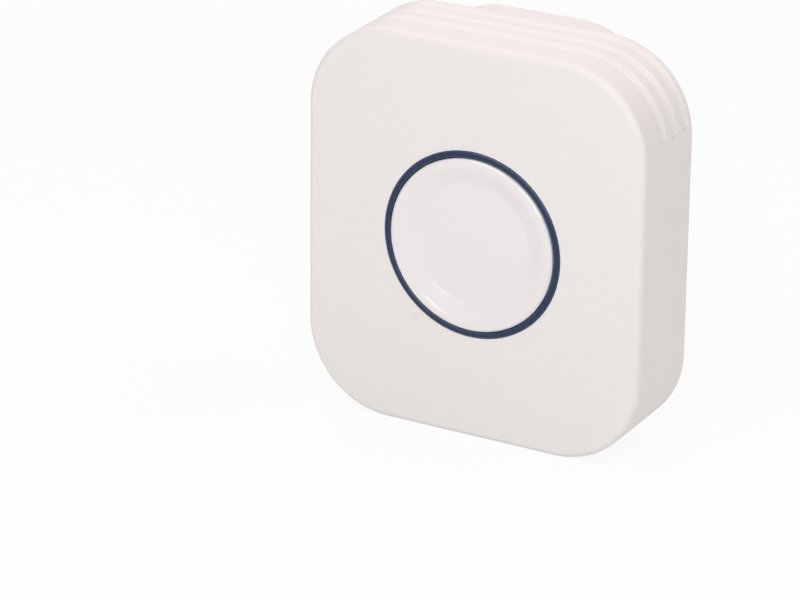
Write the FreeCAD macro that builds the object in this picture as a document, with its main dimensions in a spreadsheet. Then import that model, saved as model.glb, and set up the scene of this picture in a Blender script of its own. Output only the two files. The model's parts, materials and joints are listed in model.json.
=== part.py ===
import FreeCAD, Part
import math
import os
import re

import Sketcher
from FreeCAD import Placement, Rotation, Vector

# Plug-in doorbell chime. X points right as seen from the front, Y points back into the wall and
# Z points up. The origin is midway between the two plug pins, in the plug's engagement face.
# Most pieces are drawn about the face centre: X and Z from the centre, Y as depth behind the
# front plane. The pieces of the plug and its power supply are drawn about the origin itself.

SIZES = {
    # main outline of the housing
    "face_width": 80.0,
    "face_height": 88.9,
    "corner_radius": 19.7,
    "cover_depth": 8.0,
    "housing_depth": 23.0,
    "wall": 2.0,
    "front_edge_round": 1.4,
    "back_edge_round": 0.9,
    "seam_chamfer": 0.3,
    "lip_depth": 1.4,
    "lip_gap": 0.15,
    "inner_liner": 3.2,
    # sound grooves over the top and the upper corners
    "groove_depth": 0.8,
    "groove_knee": 1.2,
    "groove_knee_depth": 0.65,
    "groove_width": 2.8,
    "groove_overrun": 0.6,
    "groove_back_land": 1.9,
    "groove_start": 7.9,
    "groove_count": 3,
    "groove_end_angle": 8.0,
    "slot_length": 6.0,
    "slot_width": 1.0,
    "slot_pitch": 8.6,
    "slot_count": 5,
    "slot_front_gap": 0.15,
    # block that carries the plug
    "block_half_width": 26.8,
    "block_half_height": 30.0,
    "block_radius": 17.6,
    "block_depth": 9.6,
    "block_edge_round": 1.6,
    "plug_below_top": 31.65,
    "boss_width": 35.3,
    "boss_height": 13.7,
    "boss_radius": 6.2,
    "boss_length": 17.0,
    "boss_edge_round": 1.0,
    # plug pins
    "pin_pitch": 19.0,
    "pin_radius": 2.0,
    "pin_length": 19.0,
    "pin_neck_radius": 1.4,
    "pin_tip_chamfer": 0.8,
    "pin_collar_radius": 2.9,
    "pin_collar_length": 2.0,
    "pin_tail_radius": 1.0,
    "sleeve_length": 10.0,
    "carrier_front": 14.0,
    "carrier_back": 4.5,
    "fit_gap": 0.05,
    "join_depth": 0.1,
    # ring and button in the face
    "ring_radius": 21.1,
    "ring_width": 1.45,
    "ring_proud": 0.3,
    "ring_flange_radius": 23.2,
    "ring_flange_depth": 1.2,
    "ring_guide_width": 1.8,
    "ring_guide_end": 6.9,
    "ring_collar_width": 1.2,
    "button_gap": 0.25,
    "button_proud": 0.85,
    "button_dish_depth": 1.3,
    "button_dish_radius": 13.65,
    "button_rim_radius": 17.6,
    "button_rim_land": 1.6,
    "button_wall": 1.5,
    "button_skirt_rise": 1.0,
    "button_flange_radius": 20.5,
    "button_flange_depth": 1.0,
    "button_post_radius": 1.6,
    "button_travel": 0.6,
    # circuit board behind the face
    "board_front": 8.0,
    "board_thickness": 1.6,
    "board_half_width": 27.0,
    "board_top_gap": 0.45,
    "board_bottom_gap": 7.45,
    "board_radius": 3.0,
    "board_post_x": 23.5,
    "board_post_high_inset": 3.4,
    "board_post_low_inset": 4.0,
    "board_post_radius": 2.6,
    "led_circle": 22.3,
    "led_length": 3.2,
    "led_width": 1.6,
    "led_height": 0.8,
    "led_count": 12,
    "switch_side": 6.0,
    "switch_corner": 0.4,
    "switch_height": 3.4,
    "switch_stem_radius": 1.75,
    "switch_stem_length": 2.1,
    "chip_height": 1.8,
    "chip_lift": 0.2,
    "leg_width": 0.4,
    "leg_reach": 0.8,
    "leg_pitch": 1.27,
    "controller_x": 7.0,
    "controller_z": 8.0,
    "controller_half_width": 3.8,
    "controller_legs": 10,
    "audio_chip_x": -12.0,
    "audio_chip_z": 8.0,
    "audio_chip_half_width": 2.0,
    "audio_chip_legs": 4,
    "radio_x": -15.0,
    "radio_z": -18.0,
    "radio_half_width": 6.0,
    "radio_half_height": 9.0,
    "radio_board_thickness": 1.0,
    "radio_corner": 0.5,
    "radio_part_height": 1.2,
    "radio_part_offset": 2.7,
    "radio_chip_half_width": 2.2,
    "radio_chip_half_height": 2.7,
    "radio_chip_rise": 3.6,
    "radio_can_half_width": 1.4,
    "radio_can_half_height": 5.4,
    "radio_can_drop": 0.9,
    "crystal_x": 19.2,
    "crystal_z": 3.0,
    "crystal_half_width": 2.2,
    "crystal_half_height": 5.0,
    "crystal_height": 2.4,
    # screws that close the housing
    "housing_screw_x": 31.0,
    "housing_screw_inset": 15.45,
    "housing_post_radius": 3.0,
    "housing_post_end": 12.0,
    "housing_screw_sink": 3.0,
    "screw_head_height": 2.0,
    "screw_head_radius": 2.6,
    "screw_shank_radius": 1.2,
    "screw_head_gap": 0.4,
    "screw_recess_depth": 1.0,
    "screw_recess_length": 3.0,
    "screw_recess_width": 0.8,
    "small_head_radius": 2.1,
    "small_head_height": 1.4,
    "small_shank_radius": 0.9,
    "screw_tip_gap": 0.6,
    # screws that hold the plug block to the back wall
    "block_screw_x": 20.5,
    "block_screw_z": 21.5,
    "back_opening_half_width": 17.5,
    "back_opening_half_height": 19.5,
    "back_opening_radius": 5.0,
    # side buttons in the left wall
    "side_button_depth": 15.0,
    "side_button_half_depth": 2.5,
    "side_button_half_length": 5.5,
    "side_button_spacing": 18.0,
    "side_button_proud": 0.6,
    "side_button_gap": 0.25,
    "side_button_flange": 0.8,
    "side_button_flange_depth": 1.0,
    "side_button_stem_radius": 1.5,
    "side_button_travel": 0.5,
    "side_board_x": 26.8,
    "side_board_thickness": 1.2,
    "side_board_half_length": 14.0,
    "side_board_depth": 9.0,
    # speaker under the grooves
    "speaker_half_width": 17.0,
    "speaker_front": 6.2,
    "speaker_back_gap": 0.2,
    "speaker_height": 6.0,
    "speaker_rim": 1.6,
    "speaker_corner": 2.0,
    "speaker_inner_corner": 1.5,
    "gasket_thickness": 0.8,
    "cradle_thickness": 1.0,
    "magnet_half_width": 7.0,
    "magnet_half_depth": 3.5,
    "magnet_corner": 0.5,
    "former_inset": 1.0,
    "former_wall": 0.5,
    "dome_overhang": 2.0,
    "basket_floor": 1.0,
    "cone_thickness": 0.4,
    "cone_drop": 0.8,
    # power supply on its own board
    "power_board_back": 3.4,
    "power_board_half_width": 17.0,
    "power_board_half_height": 24.5,
    "power_board_corner": 1.5,
    "power_post_z": 22.0,
    "power_post_radius": 2.5,
    "component_height": 9.8,
    "transformer_half_width": 7.0,
    "transformer_half_height": 6.5,
    "transformer_x": 6.5,
    "transformer_z": -9.4,
    "core_width": 2.2,
    "core_corner": 0.3,
    "winding_corner": 1.5,
    "core_thickness": 5.0,
    "bobbin_height": 2.6,
    "mains_capacitor_x": -9.0,
    "mains_capacitor_z": 11.0,
    "mains_capacitor_radius": 4.0,
    "output_capacitor_x": 10.5,
    "output_capacitor_z": 11.5,
    "output_capacitor_radius": 3.1,
    "output_capacitor_height": 8.3,
    "capacitor_round": 0.5,
    "rectifier_x": -9.8,
    "rectifier_z": -7.0,
    "rectifier_half_width": 3.8,
    "rectifier_half_height": 3.0,
    "rectifier_height": 2.6,
    "fuse_x": 0.5,
    "fuse_z": 8.0,
    "fuse_radius": 1.7,
    "fuse_length": 9.0,
    "absorber_x": -9.5,
    "absorber_z": -16.5,
    "absorber_radius": 4.2,
    "absorber_length": 3.4,
    "wire_radius": 0.6,
    "wire_bend": 2.0,
    "supply_wire_x": 12.0,
    "supply_wire_pitch": 2.0,
    "supply_wire_step": 3.0,
    "supply_wire_run": 5.0,
    "speaker_wire_x": 2.0,
    "speaker_wire_inset": 4.2,
    "speaker_wire_drop": 6.0,
    "aerial_lift": 3.4,
    "aerial_bottom_gap": 3.85,
    "aerial_side": 24.0,
    "aerial_top": 12.0,
}

# how far apart two heights may be and still count as one plane
LEVEL = 1e-4
# least volume that a feature adds or takes away
LEAST_VOLUME = 1e-6
# part of a wire's volume by which its sweep may differ from a straight wire's
WIRE_SLACK = 0.02

document = FreeCAD.newDocument("plug_in_chime")
sheet = document.addObject("Spreadsheet::Sheet", "sizes")
for row, (alias, size) in enumerate(SIZES.items(), start=1):
    sheet.set("A%d" % row, alias)
    sheet.set("B%d" % row, str(size))
    sheet.setAlias("B%d" % row, alias)
document.recompute()

# Axes of a body by name, and the direction in which a sketch on each plane faces.
PLANES = {"XZ": ("XZ_Plane", -1.0), "YZ": ("YZ_Plane", 1.0), "XY": ("XY_Plane", 1.0)}


def full(expression):
    """Put the sheet's name in front of each size in an expression."""
    def replace(word):
        name = word.group(0)
        return "sizes." + name if name in SIZES else name
    return re.sub(r"[a-z_]+", replace, str(expression))


def number(expression):
    """Work out an expression on the sheet's sizes."""
    return float(sheet.evalExpression(full(expression)))


def bind(item, path, expression):
    """Tie a property to an expression on the sheet's sizes."""
    item.setExpression(path, full(expression))


def origin_feature(body, role):
    return [item for item in body.Origin.OriginFeatures if item.Role == role][0]


def at_face(body):
    """Place a piece that is drawn about the face centre."""
    bind(body, "Placement.Base.y", "-(boss_length + block_depth + housing_depth)")
    bind(body, "Placement.Base.z", "-" + PLUG_RISE)


def at_origin(body):
    """Leave a piece that is drawn about the origin where it is."""
    body.Placement = Placement()


def new_body(label, place=at_face):
    body = document.addObject("PartDesign::Body", label)
    body.Label = label
    body.AllowCompound = True
    place(body)
    return body


def new_sketch(body, name, plane, height, *profiles):
    """A sketch parallel to one of the body's own planes, at a height along that plane's axis."""
    role, facing = PLANES[plane]
    sketch = body.newObject("Sketcher::SketchObject", name)
    sketch.AttachmentSupport = [(origin_feature(body, role), "")]
    sketch.MapMode = "FlatFace"
    bind(sketch, "AttachmentOffset.Base.z", "%g * (%s)" % (facing, height))
    drawing = Drawing(sketch)
    for draw in profiles:
        draw(drawing)
    drawing.finish()
    return sketch


class Drawing:
    """Constraints of one sketch, added together so that it is solved once."""

    def __init__(self, sketch):
        self.sketch = sketch
        self.constraints = []
        self.expressions = {}

    def add(self, item):
        return self.sketch.addGeometry(item)

    def tie(self, kind, *references):
        """Relate parts of the sketch to each other."""
        self.constraints.append(Sketcher.Constraint(kind, *references))

    def hold(self, kind, references, expression):
        """Add a dimension that follows an expression."""
        dimension = Sketcher.Constraint(kind, *references, number(expression))
        dimension.Name = "size_%d" % len(self.constraints)
        self.constraints.append(dimension)
        self.expressions[dimension.Name] = expression

    def finish(self):
        self.sketch.addConstraint(self.constraints)
        for name, expression in self.expressions.items():
            bind(self.sketch, "Constraints." + name, expression)


def circle(x, y, radius):
    """A circle for a sketch."""
    def draw(drawing):
        centre = Vector(number(x), number(y), 0)
        item = drawing.add(Part.Circle(centre, Vector(0, 0, 1), number(radius)))
        drawing.hold("Radius", [item], radius)
        drawing.hold("DistanceX", [item, 3], x)
        drawing.hold("DistanceY", [item, 3], y)
    return draw


def polygon(*points):
    """A closed outline of straight lines for a sketch."""
    def draw(drawing):
        places = [Vector(number(x), number(y), 0) for x, y in points]
        lines = []
        for start, end in zip(places, places[1:] + places[:1]):
            lines.append(drawing.add(Part.LineSegment(start, end)))
        for line, following in zip(lines, lines[1:] + lines[:1]):
            drawing.tie("Coincident", line, 2, following, 1)
        for line, (x, y) in zip(lines, points):
            drawing.hold("DistanceX", [line, 1], x)
            drawing.hold("DistanceY", [line, 1], y)
    return draw


def box(left, right, low, high):
    """A rectangle for a sketch."""
    return polygon((left, low), (right, low), (right, high), (left, high))


def rounded(left, right, low, high, radius):
    """A rectangle with round corners for a sketch."""
    def draw(drawing):
        x0, x1, y0, y1 = [number(edge) for edge in (left, right, low, high)]
        r = number(radius)
        corners = [(x1 - r, y0 + r, -90), (x1 - r, y1 - r, 0), (x0 + r, y1 - r, 90), (x0 + r, y0 + r, 180)]
        bends = []
        for x, y, start in corners:
            round_edge = Part.Circle(Vector(x, y, 0), Vector(0, 0, 1), r)
            bends.append(Part.ArcOfCircle(round_edge, math.radians(start), math.radians(start + 90)))
        arcs = [drawing.add(bend) for bend in bends]
        lines = []
        for before, after in zip(bends[-1:] + bends[:-1], bends):
            lines.append(drawing.add(Part.LineSegment(before.EndPoint, after.StartPoint)))
        for index, arc in enumerate(arcs):
            drawing.tie("Tangent", lines[index], 2, arc, 1)
            drawing.tie("Tangent", arc, 2, lines[(index + 1) % 4], 1)
            drawing.tie("Vertical" if index % 2 else "Horizontal", lines[index])
        for arc in arcs[1:]:
            drawing.tie("Equal", arcs[0], arc)
        drawing.hold("Radius", [arcs[0]], radius)
        drawing.hold("DistanceX", [lines[1], 1], right)
        drawing.hold("DistanceX", [lines[3], 1], left)
        drawing.hold("DistanceY", [lines[0], 1], low)
        drawing.hold("DistanceY", [lines[2], 1], high)
    return draw


def centred(half_width, half_height, radius, x="0", y="0"):
    """A rectangle with round corners about a point."""
    return rounded("%s - (%s)" % (x, half_width), "%s + (%s)" % (x, half_width),
                   "%s - (%s)" % (y, half_height), "%s + (%s)" % (y, half_height), radius)


def outline(inset):
    """The housing's outline, moved inwards by a distance."""
    return centred("face_width / 2 - (%s)" % inset, "face_height / 2 - (%s)" % inset,
                   "corner_radius - (%s)" % inset)


def arch(outer, inner, end_angle):
    """A band along the housing's outline over its top and upper corners."""
    centre_x = "face_width / 2 - corner_radius"
    centre_y = "face_height / 2 - corner_radius"

    def draw(drawing):
        start = math.radians(number(end_angle))
        arcs = []
        for side in (1, -1):
            for inset in (outer, inner):
                centre = Vector(side * number(centre_x), number(centre_y), 0)
                radius = "corner_radius - (%s)" % inset
                bend = Part.Circle(centre, Vector(0, 0, 1), number(radius))
                angles = (start, math.pi / 2) if side > 0 else (math.pi / 2, math.pi - start)
                shape = Part.ArcOfCircle(bend, *angles)
                arc = drawing.add(shape)
                top, foot = (2, 1) if side > 0 else (1, 2)
                drawing.hold("Radius", [arc], radius)
                drawing.hold("DistanceX", [arc, 3], "%d * (%s)" % (side, centre_x))
                drawing.hold("DistanceY", [arc, 3], centre_y)
                drawing.hold("DistanceX", [arc, top], "%d * (%s)" % (side, centre_x))
                drawing.hold("DistanceY", [arc, foot], "%s + (%s) * sin(%s)" % (centre_y, radius, end_angle))
                ends = shape.StartPoint, shape.EndPoint
                arcs.append({"top": (arc, top, ends[top - 1]), "foot": (arc, foot, ends[foot - 1])})
        right_outer, right_inner, left_outer, left_inner = arcs
        joins = [(right_outer["top"], left_outer["top"]), (left_outer["foot"], left_inner["foot"]),
                 (left_inner["top"], right_inner["top"]), (right_inner["foot"], right_outer["foot"])]
        for first, second in joins:
            line = drawing.add(Part.LineSegment(first[2], second[2]))
            drawing.tie("Coincident", line, 1, first[0], first[1])
            drawing.tie("Coincident", line, 2, second[0], second[1])
    return draw


def prism(body, name, plane, start, end, *profiles, cut=False):
    """Add or cut the space between two heights inside some closed profiles."""
    sketch = new_sketch(body, name + "_sketch", plane, start, *profiles)
    feature = body.newObject("PartDesign::Pocket" if cut else "PartDesign::Pad", name)
    feature.Profile = sketch
    bind(feature, "Length", "(%s) - (%s)" % (end, start))
    faces_back = PLANES[plane][1] < 0
    feature.Reversed = (not faces_back) if cut else faces_back
    return feature


def turned(body, name, plane, axis, *points):
    """A solid turned about one of its sketch's own axes."""
    sketch = new_sketch(body, name + "_sketch", plane, "0", polygon(*points))
    feature = body.newObject("PartDesign::Revolution", name)
    feature.Profile = sketch
    feature.ReferenceAxis = (sketch, [axis])
    feature.Angle = 360.0
    return feature


def repeat(body, name, feature, axis, pitch, count):
    """Repeat a feature in a row along one of the body's axes."""
    pattern = body.newObject("PartDesign::LinearPattern", name)
    pattern.Originals = [feature]
    pattern.Direction = (origin_feature(body, axis + "_Axis"), [""])
    bind(pattern, "Length", "(%s) * (%s - 1)" % (pitch, count))
    bind(pattern, "Occurrences", count)
    body.Tip = pattern
    return pattern


def edges_where(shape, test):
    """Names of the edges whose whole box passes a test."""
    return ["Edge%d" % (index + 1) for index, edge in enumerate(shape.Edges) if test(edge.BoundBox)]


def dress(body, name, kind, size_name, size, test):
    """Round or chamfer the edges of a body's latest feature that pass a test."""
    document.recompute()
    feature = body.Tip
    finish = body.newObject("PartDesign::" + kind, name)
    finish.Base = (feature, edges_where(feature.Shape, test))
    bind(finish, size_name, size)
    body.Tip = finish
    return finish


def in_plane_y(height):
    """A test for edges that lie in one plane across the depth."""
    level = number(height)
    return lambda edges: abs(edges.YMin - level) < LEVEL and abs(edges.YMax - level) < LEVEL


def four(x, z, middle="0"):
    """Four places, the same distance each side of a centre."""
    return [("%s(%s)" % (side, x), "%s %s (%s)" % (middle, rise, z)) for side in ("", "-") for rise in "+-"]


def posts(body, name, places, radius, start, end):
    return prism(body, name, "XZ", start, end, *[circle(x, z, radius) for x, z in places])


def holes(body, name, places, radius, start, end):
    return prism(body, name, "XZ", start, end, *[circle(x, z, radius) for x, z in places], cut=True)


# heights above the face centre and depths behind the front plane
PLUG_RISE = "(face_height / 2 - plug_below_top)"
GROOVE_PITCH = "((housing_depth - groove_start - groove_width - groove_back_land) / (groove_count - 1))"
SPEAKER_TOP = "(face_height / 2 - inner_liner - gasket_thickness)"
SPEAKER_LOW = "(face_height / 2 - inner_liner - gasket_thickness - speaker_height)"
SPEAKER_BACK = "(housing_depth - wall - speaker_back_gap)"
SCREW_SEAT = "(housing_depth - housing_screw_sink)"
BOARD_TOP = "(%s - cradle_thickness - board_top_gap)" % SPEAKER_LOW
BOARD_LOW = "(wall + board_bottom_gap - face_height / 2)"
BOARD_BACK = "(board_front + board_thickness)"
HOUSING_SCREWS = four("housing_screw_x", "face_height / 2 - housing_screw_inset")
BLOCK_SCREWS = four("block_screw_x", "block_screw_z")
BLOCK_SCREWS_ON_FACE = four("block_screw_x", "block_screw_z", PLUG_RISE)
BOARD_SCREWS = [(side + "board_post_x", height)
                for height in (BOARD_TOP + " - board_post_high_inset", BOARD_LOW + " + board_post_low_inset")
                for side in ("", "-")]
POWER_SCREWS = [("0", "power_post_z"), ("0", "-power_post_z")]
# depths along Y of the plug's pieces, measured from the engagement face towards the room
BLOCK_BACK = "(-boss_length)"
BLOCK_FLOOR = "(-boss_length - wall)"
BLOCK_FRONT = "(-boss_length - block_depth)"
POWER_BACK = "(-boss_length - wall - power_board_back)"
POWER_FRONT = "(-boss_length - wall - power_board_back - board_thickness)"


def front_cover():
    """Face and front part of the side wall, with the posts that carry the board."""
    body = new_body("front_cover")
    prism(body, "shell", "XZ", "0", "cover_depth", outline("0"))
    dress(body, "front_round", "Fillet", "Radius", "front_edge_round", in_plane_y("0"))
    dress(body, "seam_edge", "Chamfer", "Size", "seam_chamfer / 2", in_plane_y("cover_depth"))
    prism(body, "inside", "XZ", "wall", "cover_depth", outline("wall"), cut=True)
    collar = "ring_flange_radius + button_gap"
    prism(body, "ring_collar", "XZ", "wall - join_depth", "wall + ring_flange_depth",
          circle("0", "0", collar + " + ring_collar_width"), circle("0", "0", collar))
    holes(body, "ring_hole", [("0", "0")], "ring_radius", "0", "wall")
    posts(body, "board_posts", BOARD_SCREWS, "board_post_radius", "wall / 2", "board_front")
    posts(body, "housing_posts", HOUSING_SCREWS, "housing_post_radius", "wall / 2", "housing_post_end")
    holes(body, "board_pilots", BOARD_SCREWS, "small_shank_radius + fit_gap", "wall", "board_front")
    holes(body, "housing_pilots", HOUSING_SCREWS, "screw_shank_radius + fit_gap", "wall", "housing_post_end")


def rear_housing():
    """Rest of the side wall, the grooves with their sound slots, and the back wall."""
    body = new_body("rear_housing")
    back_inside = "housing_depth - wall"
    prism(body, "shell", "XZ", "cover_depth", "housing_depth", outline("0"))
    dress(body, "back_round", "Fillet", "Radius", "back_edge_round", in_plane_y("housing_depth"))
    dress(body, "seam_edge", "Chamfer", "Size", "seam_chamfer", in_plane_y("cover_depth"))
    prism(body, "inside", "XZ", "cover_depth", back_inside, outline("wall"), cut=True)
    prism(body, "liner", "XZ", "cover_depth", back_inside + " + join_depth",
          arch("wall - join_depth", "inner_liner", "groove_end_angle / 2"))
    prism(body, "lip_root", "XZ", "cover_depth", "cover_depth + lip_depth",
          outline("wall - join_depth"), outline("inner_liner"))
    prism(body, "lip", "XZ", "cover_depth - lip_depth", "cover_depth + join_depth",
          outline("wall + lip_gap"), outline("inner_liner"))
    repeat(body, "grooves", ramped_groove(body), "Y", GROOVE_PITCH, "groove_count")
    sound_slots(body)
    prism(body, "back_opening", "XZ", back_inside, "housing_depth",
          centred("back_opening_half_width", "back_opening_half_height", "back_opening_radius", "0",
                  PLUG_RISE),
          cut=True)
    posts(body, "screw_bosses", HOUSING_SCREWS, "housing_post_radius + screw_head_gap", "housing_post_end",
          back_inside + " + join_depth")
    holes(body, "screw_wells", HOUSING_SCREWS, "screw_head_radius + screw_head_gap", SCREW_SEAT,
          "housing_depth")
    holes(body, "screw_holes", HOUSING_SCREWS, "screw_shank_radius + screw_head_gap", "housing_post_end",
          "housing_depth")
    holes(body, "block_screw_holes", BLOCK_SCREWS_ON_FACE, "small_shank_radius + 3 * fit_gap", back_inside,
          "housing_depth")
    speaker_cradle(body)
    side_button_holes(body)


def ramped_groove(body):
    """A groove whose floor is deepest at its front step and rises to the surface behind a knee."""
    sections = []
    for name, height, floor in (
            ("front", "groove_start", "groove_depth"),
            ("knee", "groove_start + groove_knee", "groove_knee_depth"),
            ("back", "groove_start + groove_width + groove_overrun",
             "-groove_knee_depth * groove_overrun / (groove_width - groove_knee)")):
        sections.append(new_sketch(body, "groove_" + name, "XZ", height,
                                   arch("-groove_depth", floor, "groove_end_angle")))
    groove = body.newObject("PartDesign::SubtractiveLoft", "groove")
    groove.Profile = sections[0]
    groove.Sections = sections[1:]
    groove.Ruled = True
    return groove


def sound_slots(body):
    """Rows of slots through the floor of each groove, behind its front step."""
    first = "-slot_pitch * (slot_count - 1) / 2"
    middle = "groove_start + slot_front_gap + slot_width / 2"
    slot = prism(body, "slot", "XY", "face_height / 2 - inner_liner - join_depth", "face_height / 2",
                 centred("slot_length / 2", "slot_width / 2", "slot_width / 2 - fit_gap", first, middle),
                 cut=True)
    several = body.newObject("PartDesign::MultiTransform", "slots")
    several.Originals = [slot]
    across = body.newObject("PartDesign::LinearPattern", "slots_across")
    across.Direction = (origin_feature(body, "X_Axis"), [""])
    bind(across, "Length", "slot_pitch * (slot_count - 1)")
    bind(across, "Occurrences", "slot_count")
    along = body.newObject("PartDesign::LinearPattern", "slots_along")
    along.Direction = (origin_feature(body, "Y_Axis"), [""])
    bind(along, "Length", GROOVE_PITCH + " * (groove_count - 1)")
    bind(along, "Occurrences", "groove_count")
    several.Transformations = [across, along]
    body.Tip = several


def speaker_cradle(body):
    """Two ledges under the speaker, out from the back wall."""
    for side in (1, -1):
        inner = "%d * (speaker_half_width / 2)" % side
        outer = "%d * (speaker_half_width - cradle_thickness)" % side
        left, right = (inner, outer) if side > 0 else (outer, inner)
        prism(body, "cradle_%s" % ("right" if side > 0 else "left"), "XZ", "cover_depth",
              "housing_depth - wall / 2",
              box(left, right, SPEAKER_LOW + " - cradle_thickness", SPEAKER_LOW))


def side_places():
    """Heights of the two side buttons, by name."""
    return {"volume": "(side_button_spacing / 2)", "melody": "(-side_button_spacing / 2)"}


def side_button_profile(height, extra="0"):
    half_depth = "side_button_half_depth + (%s)" % extra
    return centred(half_depth, "side_button_half_length + (%s)" % extra, "%s - fit_gap" % half_depth,
                   "side_button_depth", height)


def side_button_holes(body):
    for name, height in side_places().items():
        prism(body, name + "_hole", "YZ", "-face_width / 2 - wall", "-face_width / 2 + wall",
              side_button_profile(height, "side_button_gap"), cut=True)


def plug_block():
    """Rounded block behind the housing, with the boss that enters the socket."""
    body = new_body("plug_block", at_origin)
    prism(body, "shell", "XZ", BLOCK_FRONT, BLOCK_BACK,
          centred("block_half_width", "block_half_height", "block_radius"))
    dress(body, "edge_round", "Fillet", "Radius", "block_edge_round", in_plane_y(BLOCK_BACK))
    prism(body, "inside", "XZ", BLOCK_FRONT, BLOCK_FLOOR,
          centred("block_half_width - wall", "block_half_height - wall", "block_radius - wall"), cut=True)
    prism(body, "boss", "XZ", BLOCK_FLOOR, "0",
          centred("boss_width / 2", "boss_height / 2", "boss_radius"))
    dress(body, "boss_round", "Fillet", "Radius", "boss_edge_round", in_plane_y("0"))
    prism(body, "boss_inside", "XZ", BLOCK_FLOOR, "-wall",
          centred("boss_width / 2 - wall", "boss_height / 2 - wall", "boss_radius - wall"), cut=True)
    holes(body, "pin_holes", [("pin_pitch / 2", "0"), ("-pin_pitch / 2", "0")],
          "pin_radius + fit_gap", "-wall", "0")
    posts(body, "screw_bosses", BLOCK_SCREWS, "board_post_radius", BLOCK_FRONT,
          BLOCK_FLOOR + " + join_depth")
    holes(body, "screw_pilots", BLOCK_SCREWS, "small_shank_radius + fit_gap", BLOCK_FRONT, BLOCK_FLOOR)
    posts(body, "power_posts", POWER_SCREWS, "power_post_radius", POWER_BACK, BLOCK_FLOOR + " + join_depth")
    holes(body, "power_pilots", POWER_SCREWS, "small_shank_radius + fit_gap", POWER_BACK, BLOCK_FLOOR)


def pins_and_sleeves():
    """Two plug pins, each with the sleeve on its neck."""
    for side, name in ((-1, "left_pin"), (1, "right_pin")):
        def beside(body):
            bind(body, "Placement.Base.x", "%d * pin_pitch / 2" % side)
        pin = new_body(name, beside)
        collar_front = "-carrier_front - pin_collar_length"
        turned(pin, "pin", "XY", "V_Axis",
               ("0", POWER_FRONT + " - screw_tip_gap"),
               ("pin_tail_radius", POWER_FRONT + " - screw_tip_gap"),
               ("pin_tail_radius", collar_front), ("pin_collar_radius", collar_front),
               ("pin_collar_radius", "-carrier_front"), ("pin_neck_radius", "-carrier_front"),
               ("pin_neck_radius", "sleeve_length"), ("pin_radius", "sleeve_length"),
               ("pin_radius", "pin_length - pin_tip_chamfer"),
               ("pin_radius - pin_tip_chamfer", "pin_length"), ("0", "pin_length"))
        sleeve = new_body(name + "_sleeve", beside)
        prism(sleeve, "tube", "XZ", "0", "sleeve_length", circle("0", "0", "pin_radius"),
              circle("0", "0", "pin_neck_radius + fit_gap"))


def pin_carrier():
    """Insulator in the boss, through which both pins pass."""
    body = new_body("pin_carrier", at_origin)
    gap = "(wall + 3 * fit_gap)"
    prism(body, "block", "XZ", "-carrier_front", "-carrier_back",
          centred("boss_width / 2 - " + gap, "boss_height / 2 - " + gap, "boss_radius - " + gap))
    holes(body, "pin_holes", [("pin_pitch / 2", "0"), ("-pin_pitch / 2", "0")],
          "pin_neck_radius + fit_gap", "-carrier_front", "-carrier_back")


def light_ring():
    """Translucent ring with its flange behind the face and its guide towards the light sources."""
    body = new_body("light_ring")
    inner = "ring_radius - ring_width"
    flange_end = "wall + ring_flange_depth"
    turned(body, "ring", "YZ", "H_Axis",
           ("-ring_proud", inner), ("-ring_proud", "ring_radius - fit_gap"),
           ("wall", "ring_radius - fit_gap"),
           ("wall", "ring_flange_radius"), ("ring_guide_end", "ring_flange_radius"),
           ("ring_guide_end", "ring_flange_radius - ring_guide_width"),
           (flange_end, "ring_flange_radius - ring_guide_width"), (flange_end, inner))


def chime_button():
    """Dished disc that is pushed to play the chime."""
    body = new_body("chime_button")
    flange_front = "wall + ring_flange_depth"
    floor = "button_dish_depth - button_proud"
    edge = "ring_radius - ring_width - button_gap"
    rim_end = "button_rim_radius + button_rim_land"
    skirt = "button_rim_radius"
    under = floor + " + button_wall"
    post_end = "board_front - switch_height - button_travel"
    turned(body, "dish", "YZ", "H_Axis",
           (floor, "0"), (floor, "button_dish_radius"), ("-button_proud", "button_rim_radius"),
           ("-button_proud", rim_end), ("-button_proud + (%s - (%s))" % (edge, rim_end), edge),
           (flange_front, edge), (flange_front, "button_flange_radius"),
           (flange_front + " + button_flange_depth", "button_flange_radius"),
           (flange_front + " + button_flange_depth", skirt), (under + " - button_skirt_rise", skirt),
           (under, "button_dish_radius"),
           (under, "button_post_radius"), (post_end, "button_post_radius"), (post_end, "0"))


def centre_switch():
    """Tact switch behind the disc, and its stem, which moves with the disc."""
    body = new_body("centre_switch")
    front = "board_front - switch_height"
    half = "switch_side / 2"
    prism(body, "case", "XZ", front, "board_front", centred(half, half, "switch_corner"))
    holes(body, "bore", [("0", "0")], "switch_stem_radius + 2 * fit_gap", front,
          front + " + switch_stem_length + fit_gap")
    stem = new_body("centre_switch_stem")
    posts(stem, "stem", [("0", "0")], "switch_stem_radius", front + " - button_travel",
          front + " - button_travel + switch_stem_length")


def main_board():
    body = new_body("main_board")
    prism(body, "board", "XZ", "board_front", BOARD_BACK,
          rounded("-board_half_width", "board_half_width", BOARD_LOW, BOARD_TOP, "board_radius"))
    holes(body, "screw_holes", BOARD_SCREWS, "small_shank_radius + 3 * fit_gap", "board_front", BOARD_BACK)


def ring_leds():
    """Light sources in a circle behind the ring's guide."""
    body = new_body("ring_leds")
    led = prism(body, "led", "XZ", "board_front - led_height", "board_front",
                box("led_circle - led_width / 2", "led_circle + led_width / 2", "-led_length / 2",
                    "led_length / 2"))
    pattern = body.newObject("PartDesign::PolarPattern", "circle_of_leds")
    pattern.Originals = [led]
    pattern.Axis = (origin_feature(body, "Y_Axis"), [""])
    pattern.Angle = 360.0
    bind(pattern, "Occurrences", "led_count")
    body.Tip = pattern


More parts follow.
